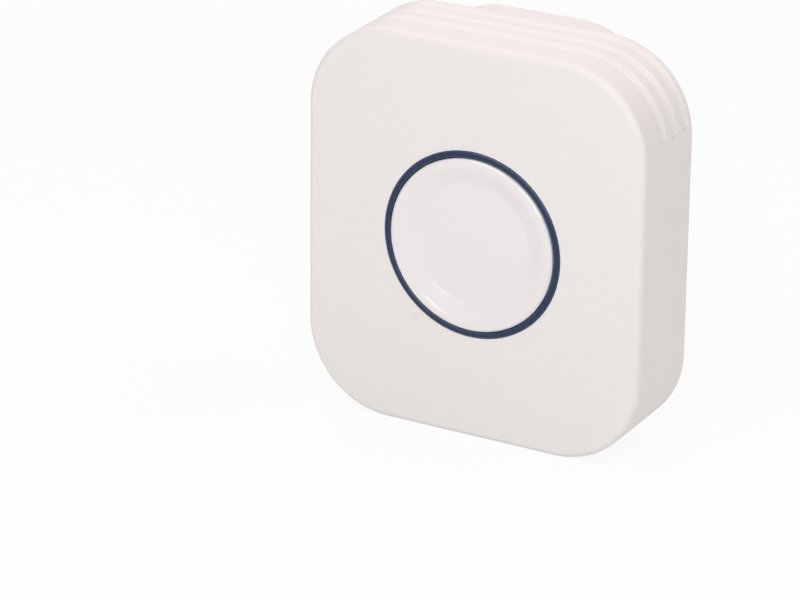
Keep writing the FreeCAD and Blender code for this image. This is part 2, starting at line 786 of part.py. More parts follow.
def chip(label, part):
    """Moulded chip on the back of the board, with a row of legs along each side."""
    body = new_body(label)
    x, z, half_width, legs = ["%s_%s" % (part, size) for size in ("x", "z", "half_width", "legs")]
    half_height = "leg_pitch * %s / 2" % legs
    prism(body, "case", "XZ", BOARD_BACK + " + chip_lift", BOARD_BACK + " + chip_height",
          box("%s - %s" % (x, half_width), "%s + %s" % (x, half_width),
              "%s - %s" % (z, half_height), "%s + %s" % (z, half_height)))
    middle = "%s - %s + leg_pitch / 2" % (z, half_height)
    reach = "(%s + leg_reach)" % half_width
    leg = prism(body, "legs", "XZ", BOARD_BACK, BOARD_BACK + " + chip_lift + join_depth",
                box("%s - %s" % (x, reach), "%s + %s" % (x, reach), middle + " - leg_width / 2",
                    middle + " + leg_width / 2"))
    repeat(body, "rows_of_legs", leg, "Z", "leg_pitch", legs)


def radio_module():
    """Small receiver board with its chip and its tuned can."""
    body = new_body("radio_module")
    top = BOARD_BACK + " + radio_board_thickness"
    prism(body, "board", "XZ", BOARD_BACK, top,
          centred("radio_half_width", "radio_half_height", "radio_corner", "radio_x", "radio_z"))
    prism(body, "parts", "XZ", top, top + " + radio_part_height",
          centred("radio_chip_half_width", "radio_chip_half_height", "radio_corner",
                  "radio_x - radio_part_offset", "radio_z + radio_chip_rise"),
          centred("radio_can_half_width", "radio_can_half_height", "radio_corner",
                  "radio_x + radio_part_offset", "radio_z - radio_can_drop"))


def crystal():
    body = new_body("crystal")
    prism(body, "can", "XZ", BOARD_BACK, BOARD_BACK + " + crystal_height",
          centred("crystal_half_width", "crystal_half_height", "crystal_half_width - fit_gap", "crystal_x",
                  "crystal_z"))


def side_controls():
    """Volume and melody buttons in the left wall, with their switches on an upright board."""
    inner_wall = "-face_width / 2 + wall"
    board_left = "-side_board_x"
    flange_end = "%s + side_button_flange_depth" % inner_wall
    switch_left = "%s - switch_height" % board_left
    stem_left = "%s - side_button_travel" % switch_left
    board = new_body("side_board")
    prism(board, "board", "YZ", board_left, board_left + " + side_board_thickness",
          box(BOARD_BACK, BOARD_BACK + " + side_board_depth", "-side_board_half_length",
              "side_board_half_length"))
    switches = new_body("side_switches")
    half = "switch_side / 2"
    places = [("side_button_depth", height) for height in side_places().values()]
    prism(switches, "cases", "YZ", switch_left, board_left,
          *[centred(half, half, "switch_corner", depth, height) for depth, height in places])
    prism(switches, "bores", "YZ", switch_left, switch_left + " + switch_stem_length + fit_gap",
          *[circle(depth, height, "switch_stem_radius + 2 * fit_gap") for depth, height in places],
          cut=True)
    for name, height in side_places().items():
        button = new_body(name + "_button")
        prism(button, "cap", "YZ", "-face_width / 2 - side_button_proud", inner_wall,
              side_button_profile(height))
        outer_edge = number("-face_width / 2 - side_button_proud")
        dress(button, "cap_round", "Fillet", "Radius", "side_button_proud / 2",
              lambda edges: abs(edges.XMax - outer_edge) < LEVEL)
        prism(button, "flange", "YZ", inner_wall, flange_end,
              side_button_profile(height, "side_button_flange"))
        prism(button, "stem", "YZ", flange_end, stem_left,
              circle("side_button_depth", height, "side_button_stem_radius"))
        stem = new_body(name + "_switch_stem")
        prism(stem, "stem", "YZ", stem_left, stem_left + " + switch_stem_length",
              circle("side_button_depth", height, "switch_stem_radius"))


def speaker():
    """Flat speaker that faces up into the grooves, with its gasket."""
    middle = "(speaker_front + %s) / 2" % SPEAKER_BACK
    half_depth = "(%s - speaker_front) / 2" % SPEAKER_BACK
    magnet_high = SPEAKER_LOW + " + speaker_height / 2"
    cone_high = SPEAKER_TOP + " - cone_drop"
    cone_low = cone_high + " - cone_thickness"

    def plate(across, depth, radius):
        return centred(across, depth, radius, "0", middle)

    rim = plate("speaker_half_width - speaker_rim", half_depth + " - speaker_rim", "speaker_inner_corner")
    frame = new_body("speaker_frame")
    prism(frame, "basket", "XY", SPEAKER_LOW, SPEAKER_TOP,
          plate("speaker_half_width", half_depth, "speaker_corner"))
    prism(frame, "inside", "XY", SPEAKER_LOW + " + basket_floor", SPEAKER_TOP, rim, cut=True)
    prism(frame, "magnet_seat", "XY", SPEAKER_LOW, SPEAKER_LOW + " + basket_floor",
          plate("magnet_half_width + fit_gap", "magnet_half_depth + fit_gap", "magnet_corner"), cut=True)
    magnet = new_body("speaker_magnet")
    prism(magnet, "magnet", "XY", SPEAKER_LOW, magnet_high,
          plate("magnet_half_width", "magnet_half_depth", "magnet_corner"))
    cone = new_body("speaker_cone")
    prism(cone, "surround", "XY", cone_low, cone_high,
          plate("speaker_half_width - speaker_rim - fit_gap", half_depth + " - speaker_rim - fit_gap",
                "speaker_inner_corner - fit_gap"))
    prism(cone, "former", "XY", magnet_high + " + cone_thickness", cone_low + " + join_depth",
          plate("magnet_half_width - former_inset", "magnet_half_depth - former_inset", "former_wall * 2"),
          plate("magnet_half_width - former_inset - former_wall",
                "magnet_half_depth - former_inset - former_wall", "former_wall"))
    prism(cone, "dome", "XY", cone_high + " - join_depth", cone_high + " + cone_thickness",
          plate("magnet_half_width + dome_overhang", "magnet_half_depth", "magnet_half_depth - fit_gap"))
    gasket = new_body("speaker_gasket")
    prism(gasket, "foam", "XY", SPEAKER_TOP, SPEAKER_TOP + " + gasket_thickness",
          plate("speaker_half_width", half_depth, "speaker_corner"), rim)


def power_board():
    body = new_body("power_board", at_origin)
    prism(body, "board", "XZ", POWER_FRONT, POWER_BACK,
          centred("power_board_half_width", "power_board_half_height", "power_board_corner"))
    holes(body, "pin_holes", [("pin_pitch / 2", "0"), ("-pin_pitch / 2", "0")],
          "pin_tail_radius + fit_gap", POWER_FRONT, POWER_BACK)
    holes(body, "screw_holes", POWER_SCREWS, "small_shank_radius + 3 * fit_gap", POWER_FRONT, POWER_BACK)


def standing(label, height):
    """Can that stands on the power board."""
    body = new_body(label, at_origin)
    top = "%s - %s" % (POWER_FRONT, height)
    prism(body, "can", "XZ", top, POWER_FRONT, circle(label + "_x", label + "_z", label + "_radius"))
    dress(body, "rim", "Fillet", "Radius", "capacitor_round", in_plane_y(top))


def power_parts():
    """Transformer, capacitors, rectifier, fuse and surge absorber on the power board."""
    centre = ("transformer_x", "transformer_z")
    top = "%s - component_height" % POWER_FRONT
    bobbin_top = "%s - bobbin_height" % POWER_FRONT
    core_top = "%s - core_thickness" % bobbin_top
    window = "transformer_half_width - core_width", "transformer_half_height - core_width"
    core = new_body("transformer_core", at_origin)
    prism(core, "core", "XZ", core_top, bobbin_top,
          centred("transformer_half_width", "transformer_half_height", "core_corner", *centre))
    prism(core, "window", "XZ", core_top, bobbin_top, centred(*window, "core_corner", *centre), cut=True)
    coil = new_body("transformer_coil", at_origin)
    prism(coil, "foot", "XZ", bobbin_top, POWER_FRONT,
          centred("transformer_half_width", "transformer_half_height", "core_corner", *centre))
    prism(coil, "winding", "XZ", top, bobbin_top + " + join_depth",
          centred(window[0] + " - 4 * fit_gap", window[1] + " - 4 * fit_gap", "winding_corner", *centre))
    standing("mains_capacitor", "component_height")
    standing("output_capacitor", "output_capacitor_height")
    rectifier = new_body("bridge_rectifier", at_origin)
    prism(rectifier, "case", "XZ", "%s - rectifier_height" % POWER_FRONT, POWER_FRONT,
          centred("rectifier_half_width", "rectifier_half_height", "core_corner", "rectifier_x",
                  "rectifier_z"))
    lying("fuse_resistor", "fuse")
    lying("surge_absorber", "absorber")


def lying(label, part):
    """Round part that lies on the power board along Z."""
    body = new_body(label, at_origin)
    low, radius = part + "_z", part + "_radius"
    prism(body, "barrel", "XY", low, "%s + %s_length" % (low, part),
          circle(part + "_x", "%s - %s" % (POWER_FRONT, radius), radius))


def route_wire(points, bend, radius):
    """Round wire along straight runs joined by tangent arcs."""
    places = [Vector(*point) for point in points]
    edges = []
    start = places[0]
    for before, corner, after in zip(places, places[1:], places[2:]):
        towards = (before - corner).normalize()
        away = (after - corner).normalize()
        half_turn = (math.pi - towards.getAngle(away)) / 2
        cut = bend * math.tan(half_turn)
        enter = corner + towards * cut
        leave = corner + away * cut
        middle_way = (towards + away).normalize()
        middle = corner + middle_way * (bend / math.cos(half_turn) - bend)
        edges.append(Part.LineSegment(start, enter).toShape())
        edges.append(Part.Arc(enter, middle, leave).toShape())
        start = leave
    edges.append(Part.LineSegment(start, places[-1]).toShape())
    path = Part.Wire(edges)
    direction = places[1] - places[0]
    section = Part.Wire([Part.Circle(places[0], direction, radius).toShape()])
    solid = path.makePipeShell([section], True, True)
    expected = math.pi * radius ** 2 * path.Length
    if abs(solid.Volume - expected) > expected * WIRE_SLACK:
        raise RuntimeError("a wire's volume is %g, not %g" % (solid.Volume, expected))
    return solid


def wires(label, routes):
    """Wires that share a node, drawn about the face centre."""
    radius, bend = number("wire_radius"), number("wire_bend")
    solids = [route_wire(points, bend, radius) for points in routes]
    item = document.addObject("Part::Feature", label)
    item.Label = label
    item.Shape = Part.makeCompound(solids) if len(solids) > 1 else solids[0]
    away = number("boss_length + block_depth + housing_depth")
    item.Placement = Placement(Vector(0, -away, -number(PLUG_RISE)), Rotation())


def inside_wires():
    """Supply wires, speaker wires and the aerial."""
    board_back = number(BOARD_BACK)
    power_front = number("boss_length + block_depth + housing_depth + " + POWER_FRONT)
    supply_z = number(PLUG_RISE + " - back_opening_half_height + supply_wire_pitch")
    board_z = supply_z - number("supply_wire_step")
    run = number("supply_wire_run")
    supply = []
    for x in (number("supply_wire_x"), number("supply_wire_x + supply_wire_pitch")):
        supply.append([(x, power_front, supply_z), (x, power_front - run, supply_z),
                       (x, board_back + run, board_z), (x, board_back, board_z)])
    wires("dc_wires", supply)
    speaker_low = number(SPEAKER_LOW)
    turn_z = speaker_low - number("speaker_wire_drop")
    depth = number(SPEAKER_BACK + " - speaker_wire_inset")
    leads = []
    for x in (-number("speaker_wire_x"), number("speaker_wire_x")):
        leads.append([(x, depth, speaker_low), (x, depth, turn_z), (x, board_back, turn_z)])
    wires("speaker_wires", leads)
    module_back = number(BOARD_BACK + " + radio_board_thickness")
    start_x = number("radio_x - radio_half_width / 2")
    start_z = number("radio_z - radio_half_height + supply_wire_step")
    level = module_back + number("aerial_lift")
    bottom = number("wall + aerial_bottom_gap - face_height / 2")
    side, top = number("aerial_side"), -number("aerial_top")
    wires("antenna_wire", [[(start_x, module_back, start_z), (start_x, level, start_z),
                            (start_x, level, bottom), (side, level, bottom), (side, level, top)]])


def cross(x, z):
    """Two crossed bars for a screw's recess."""
    length, width = "screw_recess_length / 2", "screw_recess_width / 2"
    points = [(length, width), (width, width), (width, length)]
    around = []
    for turn, (across, up) in enumerate(((1, 1), (-1, 1), (-1, -1), (1, -1))):
        corner = points if turn % 2 == 0 else points[::-1]
        for dx, dz in corner:
            around.append(("%s + %d * %s" % (x, across, dx), "%s + %d * %s" % (z, up, dz)))
    return polygon(*around)


def screws(label, place, places, seat, head_side, head, shank, tip):
    """Pan-head screws in one node: head_side is 1 where heads face back, -1 where they face out."""
    head_radius, head_height = head
    body = new_body(label, place)
    top = "%s + %d * (%s)" % (seat, head_side, head_height)
    near, far = (seat, top) if head_side > 0 else (top, seat)
    posts(body, "heads", places, head_radius, near, far)
    start, end = (tip, seat) if head_side > 0 else (seat, tip)
    posts(body, "shanks", places, shank, start, end)
    floor = "%s - %d * screw_recess_depth" % (top, head_side)
    near, far = (floor, top) if head_side > 0 else (top, floor)
    prism(body, "recesses", "XZ", near, far, *[cross(x, z) for x, z in places], cut=True)


def fasteners():
    large = ("screw_head_radius", "screw_head_height")
    small = ("small_head_radius", "small_head_height")
    screws("housing_screws", at_face, HOUSING_SCREWS, SCREW_SEAT, 1, large, "screw_shank_radius",
           "wall + screw_tip_gap")
    screws("board_screws", at_face, BOARD_SCREWS, BOARD_BACK, 1, small, "small_shank_radius",
           "wall + screw_tip_gap")
    screws("plug_block_screws", at_face, BLOCK_SCREWS_ON_FACE, "housing_depth - wall", -1, small,
           "small_shank_radius", "housing_depth + block_depth - wall - screw_tip_gap")
    screws("power_board_screws", at_origin, POWER_SCREWS, POWER_FRONT, -1, small,
           "small_shank_radius", BLOCK_FLOOR + " - screw_tip_gap")


def build():
    front_cover()
    rear_housing()
    plug_block()
    pins_and_sleeves()
    pin_carrier()
    light_ring()
    chime_button()
    centre_switch()
    main_board()
    ring_leds()
    chip("controller_chip", "controller")
    chip("audio_chip", "audio_chip")
    radio_module()
    crystal()
    side_controls()
    speaker()
    power_board()
    power_parts()
    inside_wires()
    fasteners()
    document.recompute()


def idle_features(body):
    """Names of the pads that add nothing and the pockets that cut nothing."""
    idle = []
    before = 0.0
    for feature in body.Group:
        if not feature.isDerivedFrom("PartDesign::Feature") or feature.Shape.isNull():
            continue
        after = feature.Shape.Volume
        grows = {"PartDesign::Pad": 1, "PartDesign::Pocket": -1,
                 "PartDesign::SubtractiveLoft": -1}.get(feature.TypeId)
        if grows and (after - before) * grows < LEAST_VOLUME:
            idle.append("%s of %s" % (feature.Label, body.Label))
        before = after
    return idle


def check_and_write():
    """Stop if anything failed, then write one STEP file for each sub-part."""
    failed = [item.Label for item in document.Objects if {"Invalid", "Error"} & set(item.State)]
    bodies = [item for item in document.Objects if item.TypeId == "PartDesign::Body"]
    pieces = bodies + [item for item in document.Objects if item.TypeId == "Part::Feature"]
    for body in bodies:
        failed.extend(idle_features(body))
    for piece in pieces:
        if piece.Shape.isNull() or not piece.Shape.isValid():
            failed.append(piece.Label)
    if failed:
        raise RuntimeError("failed: %s" % ", ".join(failed))
    os.makedirs("parts", exist_ok=True)
    for piece in pieces:
        piece.Shape.exportStep(os.path.join("parts", piece.Label + ".step"))
        print("%-20s %d solids %10.2f mm3" % (piece.Label, len(piece.Shape.Solids), piece.Shape.Volume))


build()
check_and_write()
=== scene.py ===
"""Looks of a plug-in doorbell chime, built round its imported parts.

Lengths in the classes are millimetres. Depths are counted back from the front plane of the face,
and heights from the middle of the face, as a maker would dimension it.
"""

import json
import logging
import math
from dataclasses import dataclass, replace
from enum import Enum
from typing import Any, ClassVar, Sequence

import bmesh
import bpy
import numpy as np
from mathutils import Matrix, Vector


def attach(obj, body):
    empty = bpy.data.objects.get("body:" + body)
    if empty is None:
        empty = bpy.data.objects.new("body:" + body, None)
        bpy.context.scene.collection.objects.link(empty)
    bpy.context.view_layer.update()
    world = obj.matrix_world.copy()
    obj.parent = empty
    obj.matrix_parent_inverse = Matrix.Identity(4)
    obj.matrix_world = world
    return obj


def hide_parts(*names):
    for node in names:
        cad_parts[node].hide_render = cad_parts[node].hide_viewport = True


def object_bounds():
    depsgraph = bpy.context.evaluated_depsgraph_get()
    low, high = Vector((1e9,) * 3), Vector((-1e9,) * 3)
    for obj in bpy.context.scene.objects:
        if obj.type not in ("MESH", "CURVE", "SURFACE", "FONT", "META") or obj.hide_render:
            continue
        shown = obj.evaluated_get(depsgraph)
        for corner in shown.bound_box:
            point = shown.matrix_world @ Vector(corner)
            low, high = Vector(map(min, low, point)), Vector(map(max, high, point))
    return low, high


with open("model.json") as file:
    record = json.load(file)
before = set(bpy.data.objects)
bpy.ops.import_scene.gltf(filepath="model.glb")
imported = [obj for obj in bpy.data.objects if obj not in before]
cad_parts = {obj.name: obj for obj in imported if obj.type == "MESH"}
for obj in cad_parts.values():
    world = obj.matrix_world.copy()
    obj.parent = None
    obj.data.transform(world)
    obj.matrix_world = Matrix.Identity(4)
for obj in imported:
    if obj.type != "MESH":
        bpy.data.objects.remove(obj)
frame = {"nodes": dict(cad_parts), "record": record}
CAD_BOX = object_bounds()
LOG = logging.getLogger("chime")
MM = 0.001
Point = tuple[float, float, float]
Colour = tuple[float, float, float]
Socket = bpy.types.NodeSocket


class Number:
    """A socket that turns Python arithmetic into Math nodes."""

    def __init__(self, sheet: "Sheet", socket: Socket) -> None:
        """Wrap a socket of one node tree."""
        self.sheet = sheet
        self.socket = socket

    def _math(self, operation: str, *values: Any) -> "Number":
        """Add one Math node.

        Args:
            operation: the node's operation.
            values: numbers, sockets or wrapped sockets, in the node's order.

        Returns:
            The wrapped result.
        """
        inputs = {index: value for index, value in enumerate(values)}
        made = self.sheet.node("ShaderNodeMath", {"operation": operation}, inputs)
        return Number(self.sheet, made.outputs[0])

    def __add__(self, other: Any) -> "Number":
        """Sum of the two."""
        return self._math("ADD", self, other)

    __radd__ = __add__

    def __sub__(self, other: Any) -> "Number":
        """This less the other."""
        return self._math("SUBTRACT", self, other)

    def __rsub__(self, other: Any) -> "Number":
        """The other less this."""
        return self._math("SUBTRACT", other, self)

    def __mul__(self, other: Any) -> "Number":
        """Product of the two."""
        return self._math("MULTIPLY", self, other)

    __rmul__ = __mul__

    def __truediv__(self, other: Any) -> "Number":
        """This divided by the other."""
        return self._math("DIVIDE", self, other)

    def __rtruediv__(self, other: Any) -> "Number":
        """The other divided by this."""
        return self._math("DIVIDE", other, self)

    def floor(self) -> "Number":
        """The whole number below this."""
        return self._math("FLOOR", self)

    def sine(self) -> "Number":
        """Sine of this angle in radians."""
        return self._math("SINE", self)

    def cosine(self) -> "Number":
        """Cosine of this angle in radians."""
        return self._math("COSINE", self)

    def clamped(self) -> "Number":
        """This, held between 0 and 1."""
        return self._math("MINIMUM", self._math("MAXIMUM", self, 0.0), 1.0)

    def blended(self, other: "Number", share: float) -> "Number":
        """This by its share, and the other by the rest."""
        return self * share + other * (1.0 - share)


class Sheet:
    """A node tree with one way to add a node."""

    def __init__(self, tree: bpy.types.NodeTree) -> None:
        """Start work on a tree, emptied first."""
        tree.nodes.clear()
        self.tree = tree

    def node(self, kind: str, settings: dict[str, Any] | None = None,
             inputs: dict[str | int, Any] | None = None) -> bpy.types.Node:
        """Add one node.

        Args:
            kind: the node's type.
            settings: its properties, set before its sockets. A ramp's stops go in as "stops".
            inputs: values or links of its sockets, by name or by place.

        Returns:
            The node.
        """
        made = self.tree.nodes.new(kind)
        for name, value in (settings or {}).items():
            if name == "stops":
                self._stops(made.color_ramp, value)
            else:
                setattr(made, name, value)
        for name, value in (inputs or {}).items():
            self.feed(made.inputs[name], value)
        return made

    @staticmethod
    def _stops(ramp: bpy.types.ColorRamp, stops: Sequence[tuple[float, Colour]]) -> None:
        """Set the stops of a colour ramp.

        Args:
            ramp: the ramp.
            stops: place and colour of each stop, in order.
        """
        while len(ramp.elements) < len(stops):
            ramp.elements.new(1.0)
        for element, (place, colour) in zip(ramp.elements, stops):
            element.position = place
            element.color = (*colour, 1.0)

    def feed(self, socket: Socket, value: Any) -> None:
        """Give a socket a value, or link another socket to it.

        Args:
            socket: the input to set.
            value: a plain value, an output or a wrapped output.
        """
        if isinstance(value, Number):
            value = value.socket
        if isinstance(value, Socket):
            self.tree.links.new(value, socket)
        else:
            socket.default_value = value

    def number(self, socket: Socket) -> Number:
        """Wrap a socket for arithmetic."""
        return Number(self, socket)


class Pattern(Enum):
    """How a surface varies."""

    GRAIN = "fine moulded grain"
    POLISHED = "polished moulding with faint waves"
    BRUSHED = "fine lines along the depth"
    TRACKS = "copper tracks under a solder mask"
    LAMINATE = "pressed paper fibres"
    BANDS = "overlapping turns of tape"
    FOAM = "open cells"


class Skin(Sheet):
    """A material's node tree, which starts from the place on the surface."""

    NOISE_ROUGHNESS: ClassVar[float] = 0.55

    def __init__(self, tree: bpy.types.NodeTree) -> None:
        """Start with the place in the piece's own coordinates."""
        super().__init__(tree)
        self.place = self.node("ShaderNodeTexCoord").outputs["Object"]

    def noise(self, pitch: float, detail: float = 2.0, stretch: Point | None = None) -> Number:
        """Noise from 0 to 1.

        Args:
            pitch: about how wide one blob is.
            detail: how many finer layers lie over the blobs.
            stretch: how fast the noise changes along each axis, where that isn't even.

        Returns:
            The noise.
        """
        place = self.place
        if stretch:
            made = self.node("ShaderNodeMapping", {}, {"Vector": place, "Scale": stretch})
            place = made.outputs["Vector"]
        made = self.node("ShaderNodeTexNoise", {}, {
            "Vector": place, "Scale": 1.0 / (pitch * MM), "Detail": detail,
            "Roughness": self.NOISE_ROUGHNESS})
        return self.number(made.outputs["Fac"])

    def cells(self, pitch: float, feature: str = "F1", stray: float = 1.0) -> Number:
        """Distance inside a cell, from its point or its edge.

        Args:
            pitch: about how wide one cell is.
            feature: which distance.
            stray: how far the cells depart from a square grid.

        Returns:
            The distance.
        """
        made = self.node("ShaderNodeTexVoronoi", {"feature": feature}, {
            "Vector": self.place, "Scale": 1.0 / (pitch * MM), "Randomness": stray})
        return self.number(made.outputs["Distance"])

    def steps(self, pitch: float, scale: float = 0.31, waver: float = 0.4) -> Number:
        """Height that rises over each step along the depth and falls at its end.

        Args:
            pitch: how wide one step is.
            scale: the wave's own scale for a step one unit wide.
            waver: how far a step's edge strays.

        Returns:
            The height, from 0 to 1.
        """
        made = self.node("ShaderNodeTexWave", {"bands_direction": "Y", "wave_profile": "SAW"}, {
            "Vector": self.place, "Scale": scale / (pitch * MM), "Distortion": waver})
        return self.number(made.outputs["Fac"])


@dataclass(frozen=True)
class Finish:
    """A finish with its two colours, gloss and surface pattern.

    The pitch is how wide the pattern's smallest features are, and the relief how deep. The spreads
    say how many pitches wide its larger features are.
    """

    CLOUD_SPREAD: ClassVar[float] = 40.0
    WAVE_SPREAD: ClassVar[float] = 12.0
    TRACK_SPREAD: ClassVar[float] = 6.0
    LINE_STRETCH: ClassVar[Point] = (1.0, 0.06, 1.0)
    FIBRE_STRETCH: ClassVar[Point] = (1.0, 1.0, 0.2)
    ROUGHNESS_SWING: ClassVar[float] = 0.16
    COAT_ROUGHNESS: ClassVar[float] = 0.08

    slot: str
    colour: Colour
    second: Colour
    pattern: Pattern = Pattern.GRAIN
    roughness: float = 0.5
    metallic: float = 0.0
    coat: float = 0.0
    pitch: float = 0.35
    relief: float = 0.012
    contrast: float = 1.0

    def material(self) -> bpy.types.Material:
        """Build the material once and use it again after that."""
        found = bpy.data.materials.get("finish_" + self.slot)
        return found or self._make()

    def _make(self) -> bpy.types.Material:
        """Build the material's nodes.

        Returns:
            The material.
        """
        made = bpy.data.materials.new("finish_" + self.slot)
        made.use_nodes = True
        skin = Skin(made.node_tree)
        height, tone = self._surface(skin)
        bump = skin.node("ShaderNodeBump", {}, {
            "Strength": 1.0, "Distance": self.relief * MM, "Height": height})
        swing = self.ROUGHNESS_SWING * self.contrast
        shader = skin.node("ShaderNodeBsdfPrincipled", {}, {
            "Base Color": self._colour(skin, tone),
            "Roughness": (tone - 0.5) * swing + self.roughness,
            "Metallic": self.metallic, "Coat Weight": self.coat,
            "Coat Roughness": self.COAT_ROUGHNESS, "Normal": bump.outputs["Normal"]})
        skin.node("ShaderNodeOutputMaterial", {}, {"Surface": shader.outputs["BSDF"]})
        return made

    def _colour(self, skin: Skin, tone: Number) -> Socket:
        """Colour over the surface, between the finish's two colours.

        Args:
            skin: the material's node tree.
            tone: how much of the second colour shows, from 0 to 1.

        Returns:
            The colour.
        """
        first, second, result = 6, 7, 2  # the Mix node's places for colours
        mixed = skin.node("ShaderNodeMix", {"data_type": "RGBA"}, {
            "Factor": tone.clamped(), first: (*self.colour, 1.0), second: (*self.second, 1.0)})
        return mixed.outputs[result]

    def _surface(self, skin: Skin) -> tuple[Number, Number]:
        """How the pattern varies over the surface.

        Args:
            skin: the material's node tree.

        Returns:
            Height for the bump and tone for the colour, both from 0 to 1.
        """
        if self.pattern is Pattern.GRAIN:
            fine = skin.noise(self.pitch, detail=3.0)
            return fine, self._cloud(skin).blended(fine, share=0.7)
        if self.pattern is Pattern.POLISHED:
            return skin.noise(self.pitch * self.WAVE_SPREAD, detail=1.0), self._cloud(skin)
        if self.pattern is Pattern.BRUSHED:
            line = skin.noise(self.pitch, detail=3.0, stretch=self.LINE_STRETCH)
            return line, line.blended(self._cloud(skin), share=0.6)
        if self.pattern is Pattern.TRACKS:
            return self._tracks(skin)
        if self.pattern is Pattern.BANDS:
            band = skin.steps(self.pitch)
            return band, band.blended(self._cloud(skin), share=0.5)
        if self.pattern is Pattern.LAMINATE:
            fibre = skin.noise(self.pitch, detail=4.0, stretch=self.FIBRE_STRETCH)
            return fibre, fibre
        pore = skin.cells(self.pitch)
        return pore, pore

    def _cloud(self, skin: Skin) -> Number:
        """Slow change of tone over the surface, from 0 to 1."""
        return skin.noise(self.pitch * self.CLOUD_SPREAD)

    def _tracks(self, skin: Skin, gap: float = 0.06, sharp: float = 30.0,
                stray: float = 0.55) -> tuple[Number, Number]:
        """Tracks of a circuit board: flat runs with gaps between them.

        Args:
            skin: the material's node tree.
            gap: how far a run stays from its cell's edge, in cells.
            sharp: how steeply a run's edge rises.
            stray: how far the runs depart from a square grid.

        Returns:
            Height and tone, which both follow the runs.
        """
        edge = skin.cells(self.pitch * self.TRACK_SPREAD, "DISTANCE_TO_EDGE", stray)
        run = ((edge - gap) * sharp).clamped()
        return run, run.blended(skin.noise(self.pitch), share=0.8)


@dataclass(frozen=True)
class RingTint(Finish):
    """Dark blue tinted plastic, with painted light: its colour turns lighter towards both thin
    edges.
    """

    centre: Point = (0.0, 0.0, 0.0)
    inner: float = 0.0
    outer: float = 1.0
    # painted light: a lighter blue painted at both thin edges; the fades set where it gives way to
    # the body colour
    painted_edge_light: Colour = (0.018, 0.07, 0.155)
    inner_fade: tuple[float, float] = (0.13, 0.3)
    outer_fade: tuple[float, float] = (0.72, 0.88)

    def _colour(self, skin: Skin, tone: Number) -> Socket:
        """Colour by the distance from the ring's middle, painted lighter towards both edges as
        painted light.

        Args:
            skin: the material's node tree.
            tone: left aside here, because the colour follows the ring.

        Returns:
            The colour.
        """
        offset = skin.node("ShaderNodeVectorMath", {"operation": "SUBTRACT"}, {
            0: skin.place, 1: [c * MM for c in self.centre]})
        flat = skin.node("ShaderNodeVectorMath", {"operation": "MULTIPLY"}, {
            0: offset.outputs[0], 1: (1.0, 0.0, 1.0)})
        radius = skin.node("ShaderNodeVectorMath", {"operation": "LENGTH"}, {0: flat.outputs[0]})
        width = (self.outer - self.inner) * MM
        across = (skin.number(radius.outputs["Value"]) - self.inner * MM) / width
        # painted light: the stops run from the painted edge light through the second colour to the
        # body colour, and back
        ramp = skin.node("ShaderNodeValToRGB", {"stops": [
            (0.0, self.painted_edge_light), (self.inner_fade[0], self.second),
            (self.inner_fade[1], self.colour), (self.outer_fade[0], self.colour),
            (self.outer_fade[1], self.second), (1.0, self.painted_edge_light)]}, {"Fac": across.clamped()})
        return ramp.outputs["Color"]


WHITE_CASE = Finish("white_case", (0.775, 0.76, 0.745), (0.79, 0.775, 0.765), pitch=0.28,
                    relief=0.006, roughness=0.46, contrast=0.5)
WHITE_BACK = replace(WHITE_CASE, slot="white_case_back")
WHITE_PLUG = replace(WHITE_CASE, slot="white_plug_case")
SIDE_KEY = replace(WHITE_CASE, slot="side_button", roughness=0.36, relief=0.004)
GLOSS_DISC = Finish("gloss_white_disc", (0.785, 0.765, 0.765), (0.795, 0.775, 0.775),
                    Pattern.POLISHED, roughness=0.16, coat=0.25, relief=0.004, contrast=0.3)
# the ring's second colour is a step of the painted light at its edges
BLUE_RING = RingTint("blue_ring", (0.001, 0.009, 0.052), (0.006, 0.036, 0.115), Pattern.POLISHED,
                     roughness=0.2, relief=0.003, contrast=0.3)
PIN_METAL = Finish("pin_metal", (0.74, 0.72, 0.68), (0.66, 0.64, 0.60), Pattern.BRUSHED,
                   roughness=0.24, metallic=1.0, pitch=0.12, relief=0.002)
PIN_SLEEVE = replace(WHITE_CASE, slot="pin_sleeve", roughness=0.4, relief=0.003)
SCREW_STEEL = Finish("screw_steel", (0.60, 0.60, 0.60), (0.50, 0.50, 0.51), Pattern.BRUSHED,
                     roughness=0.3, metallic=1.0, pitch=0.2, relief=0.002)
